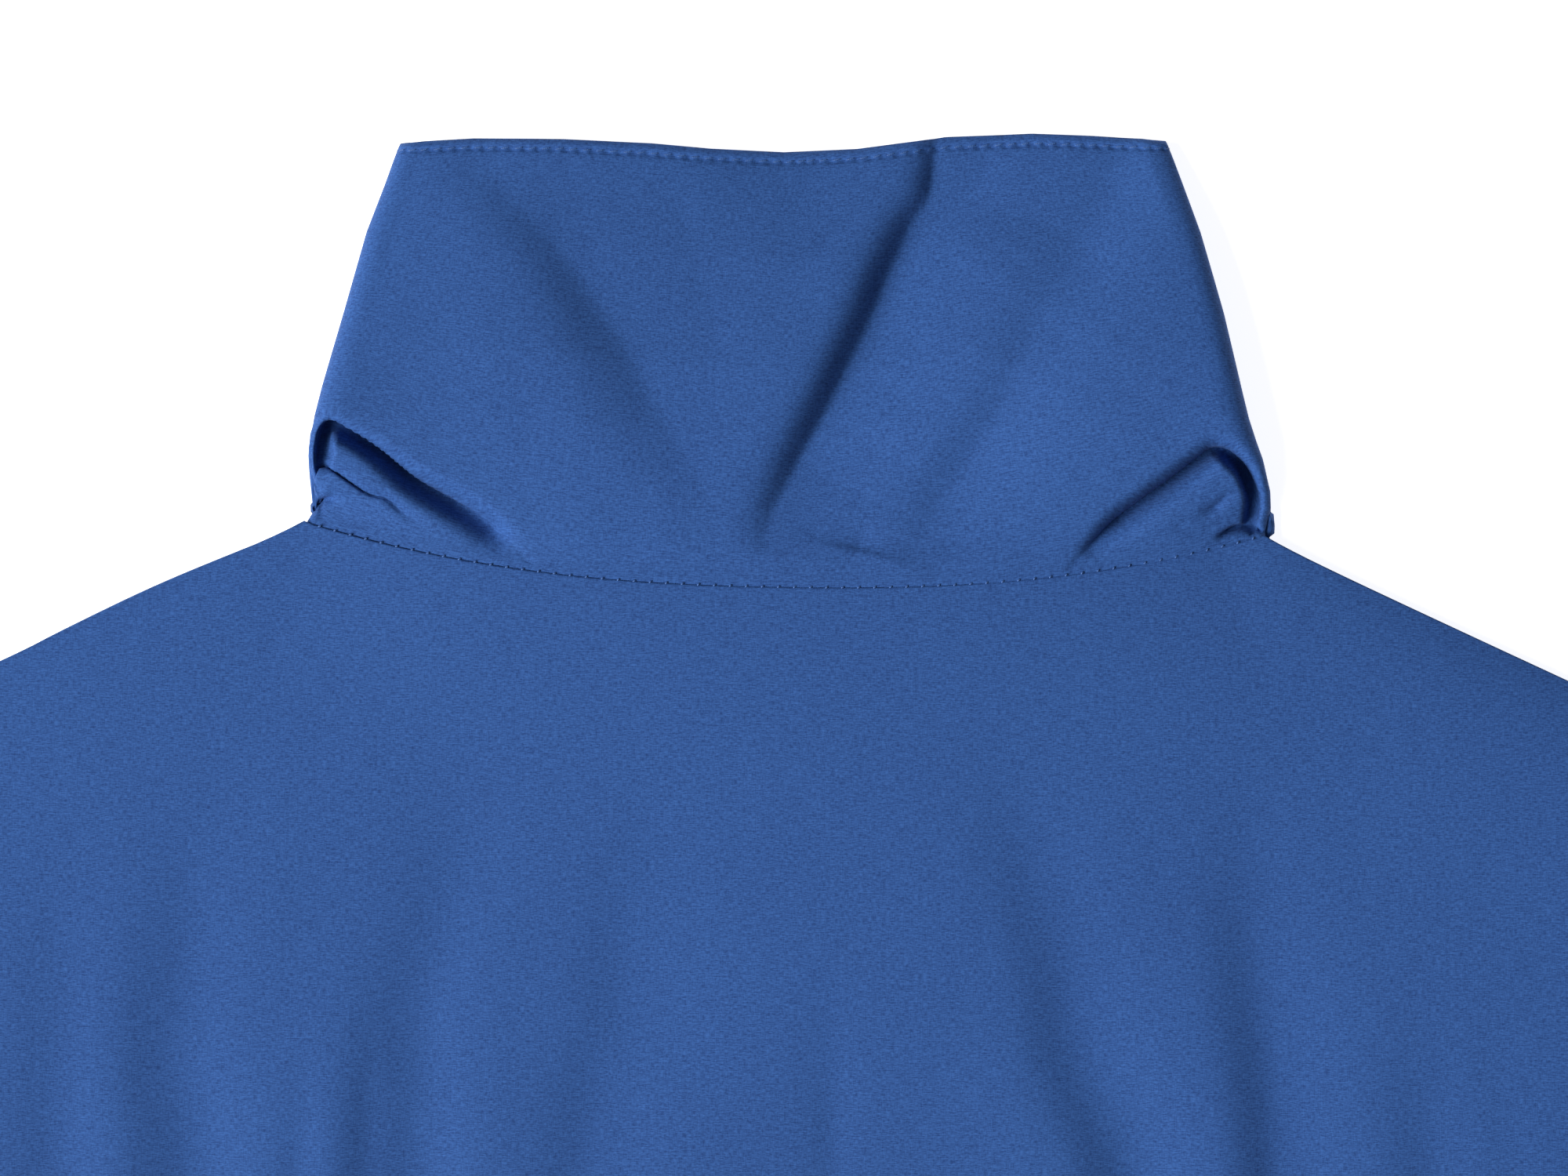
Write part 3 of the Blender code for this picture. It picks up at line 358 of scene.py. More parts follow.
def unevenness(x, y, size, seed):
    """Smooth random relief between -1 and 1, whose bumps are about size across."""
    lattice = np.random.default_rng(seed).uniform(-1, 1, (64, 64))
    u, v = x / size + 640.5, y / size + 640.5
    i, j = np.floor(u).astype(int), np.floor(v).astype(int)
    fu, fv = u - i, v - j
    fu, fv = eased(fu), eased(fv)
    i, j = i % 63, j % 63
    return ((lattice[i, j] * (1 - fu) + lattice[i + 1, j] * fu) * (1 - fv)
            + (lattice[i, j + 1] * (1 - fu) + lattice[i + 1, j + 1] * fu) * fv)


def to_frame(points):
    """Plan points and heights in millimetres to the frame in metres, with the slight skew of the neck."""
    placed = np.array(points, float)
    x, y = placed[..., 0].copy(), placed[..., 1].copy()
    placed[..., 1] += NECK_SEAM_Y - TILT * x * np.exp(-(x * x + y * y) / TILT_REACH ** 2)
    return placed * MM


def cloth_shell(name, grid, pattern, finish, ring=False, thickness=CLOTH):
    """A shell of cloth under a grid of outer points, rows by columns, with its weave laid out by pattern."""
    rows, columns = grid.shape[:2]
    index = np.arange(rows * columns).reshape(rows, columns)
    if ring:
        index = np.hstack([index, index[:, :1]])
        pattern = np.concatenate([pattern, 2 * pattern[:, -1:] - pattern[:, -2:-1]], axis=1)
    quads = np.stack([index[:-1, :-1], index[:-1, 1:], index[1:, 1:], index[1:, :-1]], axis=-1).reshape(-1, 4)
    mesh = bpy.data.meshes.new(name)
    mesh.from_pydata(to_frame(grid).reshape(-1, 3).tolist(), [], quads.tolist())
    corners = np.stack([pattern[:-1, :-1], pattern[:-1, 1:], pattern[1:, 1:], pattern[1:, :-1]], axis=2)
    mesh.uv_layers.new(name="weave").data.foreach_set("uv", (corners.reshape(-1, 2) * MM).ravel())
    mesh.shade_smooth()
    mesh.materials.append(finish)
    shell = new_object(name, mesh)
    wall = shell.modifiers.new("thickness", "SOLIDIFY")
    wall.thickness = thickness * MM
    wall.offset = -1.0
    bpy.ops.object.select_all(action="DESELECT")
    shell.select_set(True)
    bpy.context.view_layer.objects.active = shell
    bpy.ops.object.modifier_apply(modifier="thickness")
    shell.select_set(False)
    for vertex in mesh.vertices:
        vertex.co.z = max(vertex.co.z, 0.0)
    return shell


def add_node(made, kind, values):
    """Adds a node to a material, with its sockets set or linked."""
    node = made.node_tree.nodes.new(kind)
    set_sockets(node, values)
    return node


def weave_layout(made):
    """The piece's own layout of its weave, on which patterns lie."""
    layout = add_node(made, "ShaderNodeUVMap", {})
    layout.uv_map = "weave"
    return layout.outputs["UV"]


def streaks(made, source, scale, detail=2.0, dimensions="2D"):
    """Noise on stretched coordinates."""
    stretch = add_node(made, "ShaderNodeMapping", {"Vector": source, "Scale": scale})
    noise = add_node(made, "ShaderNodeTexNoise",
                     {"Vector": stretch.outputs["Vector"], "Scale": 1.0, "Detail": detail})
    noise.noise_dimensions = dimensions
    return noise.outputs["Fac"]


def mixed(made, first, second, share):
    """A mix of two patterns, with this share of the second."""
    return add_node(made, "ShaderNodeMix", {"Factor": share, "A": first, "B": second}).outputs["Result"]


def coloured(made, pattern, dark, light, low=0.0, high=1.0):
    """Colour from dark to light, as the pattern goes from low to high."""
    ramp = add_node(made, "ShaderNodeValToRGB", {"Fac": pattern})
    for element, position, colour in zip(ramp.color_ramp.elements, (low, high), (dark, light)):
        element.position = position
        element.color = colour
    return ramp.outputs["Color"]


def relief(made, pattern, strength, distance):
    """Fine relief that follows the pattern."""
    bump = add_node(made, "ShaderNodeBump", {"Height": pattern, "Strength": strength, "Distance": distance})
    return bump.outputs["Normal"]


def woven(name, dark, light, grain=0.34):
    """Plain weave of slubby yarn: fine streaks along the weft, weaker ones along the warp, a matt sheen."""
    made = new_material(name)
    layout = weave_layout(made)
    weft = streaks(made, layout, (1100.0, 4600.0, 1.0), 1.0)
    slub = streaks(made, layout, (230.0, 3000.0, 1.0), 1.0)
    warp = streaks(made, layout, (4200.0, 900.0, 1.0), 1.0)
    cloud = streaks(made, layout, (18.0, 22.0, 1.0))
    grainy = mixed(made, mixed(made, weft, slub, 0.3), warp, 0.25)
    shade = mixed(made, grainy, cloud, 0.06)
    set_shader(made, {"Base Color": coloured(made, shade, dark, light, 0.5 - grain / 2, 0.5 + grain / 2),
                      "Roughness": 0.82, "Specular IOR Level": 0.18, "Sheen Weight": 0.05,
                      "Sheen Roughness": 0.5, "Sheen Tint": SHEEN_TINT,
                      "Normal": relief(made, grainy, 0.35, 0.00012)})
    return made


def side_fold(start, end, bulge_to, top, bottom, corner):
    """Points round a side fold of the collar, from the back to the flap. Its top corner is rounded."""
    angle = np.linspace(0, math.pi, TURN_COLUMNS + 2)[None, 1:-1]
    share = (1 - np.sign(np.cos(angle)) * np.abs(np.cos(angle)) ** TURN_SQUARENESS) / 2
    out = np.sin(angle) ** TURN_SQUARENESS
    side_x = np.where(share < 0.5, start[:, :1], end[:, :1])
    x = side_x + (bulge_to[:, None] - side_x) * out
    y = start[:, 1:] + (end[:, 1:] - start[:, 1:]) * np.maximum(0, 2 * share - 1)
    y = y - CORNER_DROP * corner[:, None] * (1 - (1 - out) ** 2)
    return np.dstack([x, y, top[:, None] * (1 - share) + bottom * share])


def collar_surface(v):
    """Outer points of the collar, in rows at shares v of its height, from the seam to the top edge, and in
    columns round it from the left front edge to the right one."""
    outer = np.linspace(SIDE_START, 1, SIDE_COLUMNS + 1)
    middle = np.linspace(-SIDE_START, SIDE_START, MIDDLE_COLUMNS + 1)
    s = np.concatenate([-outer[:0:-1], middle, outer[1:]])
    y_side = COLLAR_SIDE[0][0] + (COLLAR_SIDE[-1][0] - COLLAR_SIDE[0][0]) * v
    left, right = read_table(COLLAR_SIDE, y_side), read_table(COLLAR_SIDE, y_side, 2)
    side_height = read_table(COLLAR_FOLD_HEIGHT, v)
    back_height = read_table(COLLAR_BACK_HEIGHT, v)
    x = s[None] * (np.where(s[None] < 0, left[:, None], right[:, None]) - side_height[:, None] / 2)
    low = neck_seam(x[0])
    high = read_table(COLLAR_TOP, s * COLLAR_TOP[-1][0])
    y = low + (high - low)[None] * v[:, None]
    z = side_height[:, None] + (back_height - side_height)[:, None] * (1 - np.abs(s[None]) ** 6)
    at_seam = seam_level(NECK_HALF * s)[None]
    leaving = eased(np.clip(v / LEAVING, 0, 1)[:, None])
    plan = plan_line(x.ravel(), y.ravel())
    z = z + leaving * fold_height(COLLAR_FOLDS, plan).reshape(z.shape)
    z = at_seam * (1 - leaving) + z * leaving
    back = np.dstack([x, y, np.maximum(z, EDGE_TOP + 0.2)])

    along = np.linspace(FLAP_START, 1, FLAP_COLUMNS + 1)
    low_line = at_shares(smooth_curve(FRONT_NECK, 200), along)
    high_line = at_shares(smooth_curve(COLLAR_FRONT_TOP, 200), along)
    flap = low_line[None] + (high_line - low_line)[None] * v[:, None, None]
    flap = np.dstack([flap, np.zeros(flap.shape[:2])])
    corner = np.clip((v - 1 + CORNER_SHARE) / CORNER_SHARE, 0, 1) ** 2
    right_turn = side_fold(back[:, -1, :2], flap[:, 0, :2], right, back[:, -1, 2], 0.0, corner)
    left_turn = side_fold(back[:, 0, :2] * (-1, 1), flap[:, 0, :2], left, back[:, 0, 2], 0.0, corner)
    mirror = np.array((-1, 1, 1))
    left_half = (left_turn * mirror)[:, ::-1]
    return np.concatenate([(flap * mirror)[:, ::-1], left_half, back, right_turn, flap], axis=1)


# rows are closest at the seam and at the stitched edge
collar_rows = np.concatenate([[0.0, 0.004, 0.009, 0.015, 0.022], np.linspace(0.03, 0.4, 52),
                              np.linspace(0.4, 0.962, 41)[1:], np.linspace(0.962, 1.0, 11)[1:]])
collar_grid = collar_surface(collar_rows)
hidden = FLAP_COLUMNS + 1 + TURN_COLUMNS // 2
upper = slice(hidden, -hidden)
fading = np.clip((collar_rows - FADING[0]) / FADING[1], 0, 1)[:, None, None]
above = collar_grid[:, upper]
folded = tucked(above.reshape(-1, 3), COLLAR_TUCKS).reshape(above.shape)
collar_grid[:, upper] = above * (1 - fading) + folded * fading
girth = lengths_along(collar_grid[len(collar_rows) // 2])
from_edge = ((1 - collar_rows) * COLLAR_HEIGHT)[:, None]
from_seam = (collar_rows * COLLAR_HEIGHT)[:, None]
groove = bell(from_edge - EDGE_BAND, GROOVE[1]) * (0.6 + 0.4 * np.cos(2 * math.pi * girth / STITCH))
roll = bell(from_edge, ROLL[1])
puff = bell(from_edge - EDGE_BAND / 2, PUFF[1])
ditch = bell(from_seam, DITCH[1])
rumple = unevenness(collar_grid[..., 0], collar_grid[..., 1], *RUMPLE[1:])
on_top = np.ones(collar_grid.shape[1])
on_top[:hidden] = on_top[-hidden:] = 0
collar_grid[..., 2] += on_top * (PUFF[0] * puff - GROOVE[0] * groove - ROLL[0] * roll - DITCH[0] * ditch
                                 + RUMPLE[0] * rumple)
sunk_share = np.clip(collar_grid[:1, :, 2:] / 2 - 1.2, 0, 1)
allowance = collar_grid[:1] - np.array(ALLOWANCE) - sunk_share * np.array(HIGH_ALLOWANCE)
collar_grid = np.vstack([allowance, collar_grid])
collar_weave = np.dstack(np.meshgrid(girth, np.concatenate([[-1.0], from_seam[:, 0]])))

blue_cloth = woven("blue_cloth", CLOTH_DARK, CLOTH_LIGHT)
collar = cloth_shell("collar_cloth", collar_grid, collar_weave, blue_cloth)
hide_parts("collar")
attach(collar, "jacket")


# ---------- back
# One panel of the same cloth, cut from shoulder to shoulder and down to the waistband. It lies on the fronts,
# held up a little by the collar above and by the zip below, and is gathered into the waistband.
SHOULDER_HALF = 238
SHOULDER_FALL = 0.457        # slope of the shoulder line
SHOULDER_DIP = 0.7
SHOULDER_DIP_RUN = 6.0
SHOULDER_HUMP = 1.0          # on the left shoulder only
SHOULDER_HUMP_X = -124
SHOULDER_HUMP_RUN = 20
HEM_Y = -590               # seam between body and waistband
LOFT = 3.5                   # how much higher than its edges the upper layer lies
LOFT_RUN = 10.0              # over which it rises from those edges
FOLD_RUN = 16.0              # over which its folds start
NECK_LIFT = 1.8
NECK_LIFT_REACH = 60.0
NECK_BLEND = 24.0            # distance over which the back leaves the neck seam's height
SEAM_GAP = 0.14              # between two pieces at a seam
ZIP_CLEARANCE = 6.7
ZIP_REACH = 16.0
ARMHOLE = ((238, -54.8), (233, -125), (237, -195), (254, -258), (288, -305))
SIDE_SEAM = ((288, -305), (294, -390), (291, -480), (278, -550), (256, HEM_Y))
SLEEVE_TOP = ((238, -54.8), (300, -85), (362, -124), (425, -175), (490, -240),
              (560, -318), (620, -390), (662.7, -439.3))
SLEEVE_UNDER = ((288, -305), (330, -331), (385, -370), (450, -421), (515, -470),
                (585.3, -514.7))
HEM_GATHERS = 26
GATHER_RELIEF = 1.5
GATHER_RUN = 34.0
BODY_RUMPLES = ((0.22, 34.0, 5), (0.08, 11.0, 6))
BACK_DITCH = (0.06, 0.6)     # depth and half width of the dip along the neck seam
BODY_FOLDS = (
    # soft folds that start below the shoulders and run down the back, each a trough with a ridge on its left
    Fold(((-111, -42), (-115, -60), (-117.5, -79), (-119, -97), (-116, -116), (-122, -215)), (-0.1, -1.2,
        -1.9, -1.9, -1.3, -0.6), 9, 9.5),
    Fold(((-124, -60), (-129, -79), (-132, -97), (-130, -116), (-136, -215)), (0.1, 0.6, 0.8, 0.5, 0.3), 7,
        11),
    Fold(((-62, -38), (-63, -55), (-68, -72), (-72.5, -90), (-72, -110), (-82, -250)), (-0.1, -1.4, -2.1,
        -1.9, -1.3, -0.7), 8.5, 9),
    Fold(((-75, -56), (-81, -73), (-87, -90), (-88, -110), (-96, -250)), (0.1, 0.7, 0.7, 0.5, 0.3), 8, 11),
    Fold(((-25, -42), (-31, -72), (-31, -90), (-37, -106), (-48, -230)), (-0.2, -1.4, -1.7, -1.2, -0.6), 14,
        8),
    Fold(((38, -32), (46, -45), (51, -60), (56, -75), (58, -90), (65, -106), (70, -125), (90, -270)), (-0.1,
        -1.1, -1.7, -2, -1.9, -1.6, -1.2, -0.6), 12, 8),
    Fold(((35, -48), (40, -62), (45, -77), (47, -92), (54, -108), (58, -125), (78, -270)), (0.1, 0.5, 0.8,
        0.8, 0.6, 0.5, 0.3), 7, 13),
    Fold(((92, -42), (92.5, -60), (94.5, -79), (97, -97), (99, -120), (112, -210)), (-0.2, -1.4, -2, -1.9,
        -1.3, -0.7), 11, 7.2),
    Fold(((81, -62), (83, -80), (86, -97), (88, -120), (100, -210)), (0.1, 0.6, 0.7, 0.5, 0.3), 6, 11),
    Fold(((126, -80), (128, -112), (140, -170)), (-0.2, -1.5, -0.5), 9, 6),
    # small ones between them
    Fold(((-143, -58), (-142, -86), (-143, -130)), (-0.1, -1, -1.1), 8, 6),
    Fold(((-82, -88), (-82, -104), (-83.5, -130)), (-0.1, -0.8, -0.7), 3.4, 4, 1.7),
    Fold(((-94, -94), (-95, -112), (-97, -136)), (-0.1, -0.8, -0.6), 3.4, 4, 1.7),
    Fold(((9, -74), (9.4, -96), (9, -136)), (-0.1, -0.6, -0.4), 5, 4, 1.7),
    Fold(((139, -84), (141, -100), (146, -136)), (-0.1, -0.5, -0.4), 5, 4, 1.7),
    # ridges of the bloused lower back
    Fold(((-150, -330), (-132, -430), (-120, -540)), (1, 3.2), 22, 26),
    Fold(((-40, -300), (-28, -420), (-34, -545)), (0.8, 2.6), 24, 20),
    Fold(((62, -340), (54, -440), (60, -548)), (0.8, 3), 20, 24),
    Fold(((166, -330), (158, -430), (140, -540)), (1, 2.8), 24, 20),
    # drag lines from each underarm
    Fold(((-262, -288), (-205, -262), (-160, -250)), (3.4, 0.6), 10, 12, 1.7),
    Fold(((-272, -345), (-215, -335), (-170, -318)), (2.6, 0.4), 12, 10, 1.7),
    Fold(((264, -286), (212, -266), (165, -262)), (3.2, 0.6), 12, 10, 1.7),
    Fold(((272, -350), (222, -338), (176, -326)), (2.4, 0.4), 10, 12, 1.7),
    # small creases between them
    Fold(((-240, -300), (-196, -292), (-150, -300)), (-1.2, -0.2), 3.5, 6, 1.4),
    Fold(((-226, -236), (-190, -222), (-168, -196)), (-1, -0.2), 3, 6, 1.4),
    Fold(((246, -304), (198, -300), (158, -312)), (-1.2, -0.2), 5.5, 3, 1.4),
    Fold(((228, -232), (196, -214), (178, -184)), (-1, -0.2), 6, 3, 1.4),
    Fold(((-92, -420), (-84, -490), (-88, -560)), (-0.8, -1.8), 6, 9, 1.5),
    Fold(((14, -400), (20, -480), (12, -560)), (-0.6, -1.6), 6, 10, 1.5),
    Fold(((112, -430), (104, -500), (106, -562)), (-0.8, -1.9), 9, 6, 1.5),
    Fold(((-214, -440), (-196, -500), (-190, -560)), (-0.6, -1.6), 8, 6, 1.5),
    Fold(((222, -430), (206, -500), (196, -560)), (-0.6, -1.7), 6, 9, 1.5),
)
# Sleeve folds are given for the right sleeve, and the left one's own table is mirrored when it is read.
RIGHT_SLEEVE_FOLDS = (
    Fold(((300, -300), (340, -262), (372, -206)), (4.2, 0.8), 11, 13, 1.7),
    Fold(((322, -318), (372, -296), (420, -250)), (4.4, 0.8), 10, 13, 1.7),
    Fold(((362, -346), (412, -338), (462, -300)), (3.4, 0.6), 11, 12, 1.7),
    Fold(((262, -120), (286, -190), (296, -255)), (1.6, 3.6), 14, 16),
    Fold(((500, -448), (520, -410), (556, -352)), (2.6, 1.6), 12, 12, 1.7),
    Fold(((545, -472), (572, -430), (604, -404)), (3, 2), 9, 11, 1.7),
    Fold(((430, -390), (470, -352), (508, -290)), (1.4, 2.4), 14, 16),
    Fold(((316, -150), (352, -196), (362, -240)), (-1, -0.4), 4, 8, 1.4),
    Fold(((404, -206), (430, -262), (432, -300)), (-0.9, -0.3), 8, 4, 1.4),
    Fold(((470, -262), (500, -322), (504, -360)), (-1, -0.4), 4, 8, 1.4),
    Fold(((540, -330), (556, -384), (552, -430)), (-1, -0.5), 7, 4, 1.4),
)
LEFT_SLEEVE_FOLDS = (
    Fold(((298, -296), (332, -250), (356, -190)), (4, 0.8), 12, 12, 1.7),
    Fold(((330, -322), (378, -292), (414, -236)), (4.6, 0.9), 10, 13, 1.7),
    Fold(((372, -354), (424, -336), (468, -286)), (3, 0.8), 12, 12, 1.7),
    Fold(((258, -112), (280, -180), (290, -248)), (1.4, 3.8), 14, 14),
    Fold(((486, -440), (516, -396), (540, -330)), (2.8, 1.4), 12, 13, 1.7),
    Fold(((552, -478), (574, -440), (612, -398)), (3.2, 1.8), 9, 10, 1.7),
    Fold(((446, -404), (476, -366), (520, -300)), (1.2, 2.2), 14, 14),
    Fold(((322, -140), (346, -190), (350, -232)), (-0.9, -0.4), 8, 4, 1.4),
    Fold(((396, -196), (424, -244), (440, -296)), (-1.1, -0.3), 4, 8, 1.4),
    Fold(((480, -280), (496, -336), (490, -372)), (-1, -0.4), 7, 4, 1.4),
    Fold(((530, -320), (560, -370), (566, -420)), (-1, -0.5), 4, 7, 1.4),
)


def shoulder_line(x):
    """Plan height of the shoulder edge."""
    beyond = np.abs(x) - NECK_HALF
    return NECK_RISE - SHOULDER_DIP * (1 - np.exp(-beyond / SHOULDER_DIP_RUN)) - SHOULDER_FALL * beyond


shoulder_x = np.linspace(NECK_HALF, SHOULDER_HALF, 12)
free_edges = [line * side for side in ((1, 1), (-1, 1))
              for line in (plan_line(shoulder_x, shoulder_line(shoulder_x)), smooth_curve(SLEEVE_TOP, 40),
                           smooth_curve(SLEEVE_UNDER, 30), smooth_curve(SIDE_SEAM, 20))]


def upper_height(points):
    """Height of the top face of the upper layer of the body and sleeves, which rises from its free edges."""
    edge_gap = np.min([nearest_on(line, points)[0] for line in free_edges], axis=0)
    rise = EDGE_TOP + LOFT * (1 - np.exp(-edge_gap / LOFT_RUN))
    folds = (fold_height(BODY_FOLDS, points) + fold_height(RIGHT_SLEEVE_FOLDS, points)
             + fold_height(LEFT_SLEEVE_FOLDS, points * (-1, 1)))
    x, y = points[:, 0], points[:, 1]
    folds += sum(height * unevenness(x, y, size, seed) for height, size, seed in BODY_RUMPLES)
    height = rise + folds * (1 - bell(edge_gap, FOLD_RUN))
    above = np.clip(y - HEM_Y, 0, None)
    inside = (np.abs(x) < SIDE_SEAM[1][0]) & (y < ARMHOLE[-1][1])
    wander = 1.3 * unevenness(x, y * 0.2, 30.0, 8)
    drawn = np.cos(x / SIDE_SEAM[-1][0] * math.pi * HEM_GATHERS / 2 + wander)
    height += np.where(inside, GATHER_RELIEF * drawn * bell(above, GATHER_RUN), 0)
    height += NECK_LIFT * np.exp(-(x * x + y * y) / NECK_LIFT_REACH ** 2)
    return np.maximum(np.maximum(height, EDGE_TOP), ZIP_CLEARANCE * bell(x, ZIP_REACH, 4))


def panel_between(top, bottom, left, right, down):
    """Plan grid between four boundary curves, with its rows at shares down of the side curves."""
    down = down[:, None, None]
    across = np.linspace(0, 1, len(top))[None, :, None]
    corners = ((1 - down) * ((1 - across) * top[0] + across * top[-1])
               + down * ((1 - across) * bottom[0] + across * bottom[-1]))
    between_sides = (1 - across) * left[:, None]
    return (1 - down) * top + down * bottom + between_sides + across * right[:, None] - corners


def body_side(shares):
    """Armhole and side seam of the right half, at shares of their length."""
    return at_shares(np.vstack([smooth_curve(ARMHOLE, 80), smooth_curve(SIDE_SEAM, 90)[1:]]), shares)


back_rows = np.concatenate([[0, 0.0006, 0.0014, 0.0026, 0.0045, 0.007], np.linspace(0.01, 1, 132)])
edge_x = np.linspace(SHOULDER_HALF, NECK_HALF, 49)
right_shoulder = plan_line(edge_x, shoulder_line(edge_x))
neck_x = np.linspace(-NECK_HALF, NECK_HALF, 121)[1:-1]
neck_edge = plan_line(neck_x, neck_seam(neck_x) - SEAM_GAP)
left_shoulder = right_shoulder * (-1, 1)
left_shoulder[:, 1] += SHOULDER_HUMP * bell(left_shoulder[:, 0] - SHOULDER_HUMP_X, SHOULDER_HUMP_RUN)
back_top = np.vstack([left_shoulder, neck_edge, right_shoulder[::-1]])
right_side = body_side(back_rows)
back_hem = plan_line(np.linspace(-SIDE_SEAM[-1][0], SIDE_SEAM[-1][0], len(back_top)), HEM_Y)
back_plan = panel_between(back_top, back_hem, right_side * (-1, 1), right_side, back_rows)
flat_plan = back_plan.reshape(-1, 2)
level = upper_height(flat_plan)
neck_line = plan_line(neck_x, neck_seam(neck_x))
neck_gap, neck_share, _, _ = nearest_on(neck_line[::6], flat_plan)
seam_height = seam_level(neck_x[0] + neck_share * (neck_x[-1] - neck_x[0]))
blend = np.exp(-neck_gap / NECK_BLEND)
level = level + (seam_height - level) * blend - BACK_DITCH[0] * bell(neck_gap, BACK_DITCH[1])
back_grid = np.dstack([back_plan, level.reshape(back_plan.shape[:2])])
back = cloth_shell("back_cloth", back_grid[::-1], back_plan[::-1], blue_cloth)
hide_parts("back")
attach(back, "jacket")
neck_stitches = np.column_stack([neck_x, neck_seam(neck_x) - SEAM_GAP / 2, seam_level(neck_x)])
hem_stitches = back_grid[-1] - (0, SEAM_GAP / 2, 0)


# ---------- fronts
# Two panels of the same cloth under the back, flat on the board with their outside down. They are sewn to
# it at the shoulders and sides, and meet at the zip.
FRONT_EDGE = 4.3
FRONT_SHELL = 1.0
FRONT_RUMPLE = (0.2, 20.0, 9)
FRONT_LEVEL = 1.2
SHOULDER_GAP = 2.0
NECK_GAP = 0.8

front_rows = np.linspace(0, 1, 100)
for side, name in ((1, "front_right"), (-1, "front_left")):
    neck = smooth_curve(FRONT_NECK, 40)[::-1][:-1]
    out = np.stack([np.gradient(neck[:, 1]), -np.gradient(neck[:, 0])], axis=1)
    out /= np.linalg.norm(out, axis=1)[:, None]
    front_x = np.linspace(NECK_HALF + SHOULDER_GAP, SHOULDER_HALF, 40)
    front_top = np.vstack([neck + out * NECK_GAP, plan_line(front_x, shoulder_line(front_x))])
    front_hem = plan_line(np.linspace(FRONT_EDGE, SIDE_SEAM[-1][0], len(front_top)), HEM_Y)
    centre = plan_line(FRONT_EDGE, front_top[0, 1] + (HEM_Y - front_top[0, 1]) * front_rows)
    plan = panel_between(front_top, front_hem, centre, body_side(front_rows), front_rows) * (side, 1)
    rumple = FRONT_RUMPLE[0] * unevenness(plan[..., 0], plan[..., 1], *FRONT_RUMPLE[1:])
    # side is -1 on the left, where a piece's columns run the other way, so that its faces point outwards
    lying = np.dstack([plan, FRONT_LEVEL + rumple])[:, ::side]
    front = cloth_shell(name + "_cloth", lying[::-1], lying[::-1, :, :2], blue_cloth, thickness=FRONT_SHELL)
    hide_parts(name)
    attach(front, "jacket")


# ---------- sleeves
# Each sleeve is one tube of the same cloth, laid flat with a fold along its top and its underside. It is set
# into the armhole and gathered into its cuff.
CUFF_CENTRE = (624.0, -477.0)
CUFF_GATHERS = 9
CUFF_GATHER_RUN = 60.0
SECTIONS = 110
ACROSS = 64
UNDER_POINTS = 24
BOW_REACH = 0.45             # share of the sleeve over which its sections straighten from the armhole's curve
BOW_CURVE = 1.5


def flattened_ring(plan, heights, side_height):
    """A ring of a tube laid flat: along its upper layer, round its fold, back along its lower layer and round
    its other fold."""
    start = (plan[:, 1] - plan[:, 0]) / np.linalg.norm(plan[:, 1] - plan[:, 0], axis=1)[:, None]
    end = (plan[:, -2] - plan[:, -1]) / np.linalg.norm(plan[:, -2] - plan[:, -1], axis=1)[:, None]
    radius = side_height / 2
    turns = []
    for angle in (-45, 0, 45):
        inset = radius * (1 - math.cos(math.radians(angle)))
        lift = radius * (1 + math.sin(math.radians(angle)))
        turns.append((np.column_stack([plan[:, 0] + start * inset, np.full(len(plan), lift)]),
                      np.column_stack([plan[:, -1] + end * inset, np.full(len(plan), lift)])))
    upper_layer = np.dstack([plan, heights])[:, 1:-1]
    under = np.linspace(1, 0, UNDER_POINTS + 2)[1:-1]
    lower = np.stack([at_shares(line, under) for line in plan])
    lower = np.dstack([lower, np.zeros(lower.shape[:2])])
    first = np.stack([turns[k][0] for k in (0, 1, 2)], axis=1)
    last = np.stack([turns[k][1] for k in (2, 1, 0)], axis=1)
    return np.concatenate([first, upper_layer, last, lower], axis=1)


def round_length(grid):
    """Length round a ring of points and along its rows, for its weave."""
    middle = len(grid) // 2
    around = lengths_along(grid[middle])
    down = lengths_along(grid[:, grid.shape[1] // 3])
    return np.dstack(np.meshgrid(around, down))


sleeve_stitches = []
for side, name in ((1, "sleeve_right"), (-1, "sleeve_left")):
    armhole = smooth_curve(ARMHOLE, ACROSS)
    top_line, under_line = smooth_curve(SLEEVE_TOP, SECTIONS), smooth_curve(SLEEVE_UNDER, SECTIONS)
    share = np.linspace(0, 1, ACROSS + 1)
    bow = armhole - (armhole[0] + share[:, None] * (armhole[-1] - armhole[0]))
    fade = np.clip(1 - np.arange(SECTIONS + 1) / (BOW_REACH * SECTIONS), 0, None) ** BOW_CURVE
    plan = (top_line[:, None] + share[None, :, None] * (under_line - top_line)[:, None]
            + bow[None] * fade[:, None, None])
    run = np.gradient(plan[0], axis=0)
    plan[0] += np.stack([-run[:, 1], run[:, 0]], axis=1) / np.linalg.norm(run, axis=1)[:, None] * SEAM_GAP
    to_cuff = np.linalg.norm(plan - CUFF_CENTRE, axis=2)
    plan = plan * (side, 1)
    height = np.maximum(upper_height(plan.reshape(-1, 2)).reshape(plan.shape[:2]), EDGE_TOP + 0.2)
    drawn = np.cos(share * math.pi * CUFF_GATHERS + 0.9 * unevenness(share * 200, share * 0, 40.0, 11))
    height += GATHER_RELIEF * drawn[None] * bell(to_cuff, CUFF_GATHER_RUN, 4)
    sleeve_stitches += [np.dstack([plan, height])[row] for row in (0, -1)]
    ring = flattened_ring(plan, height, EDGE_TOP)[:, ::side]
    sleeve = cloth_shell(name + "_cloth", ring, round_length(ring), blue_cloth, ring=True)
    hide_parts(name)
    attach(sleeve, "jacket")


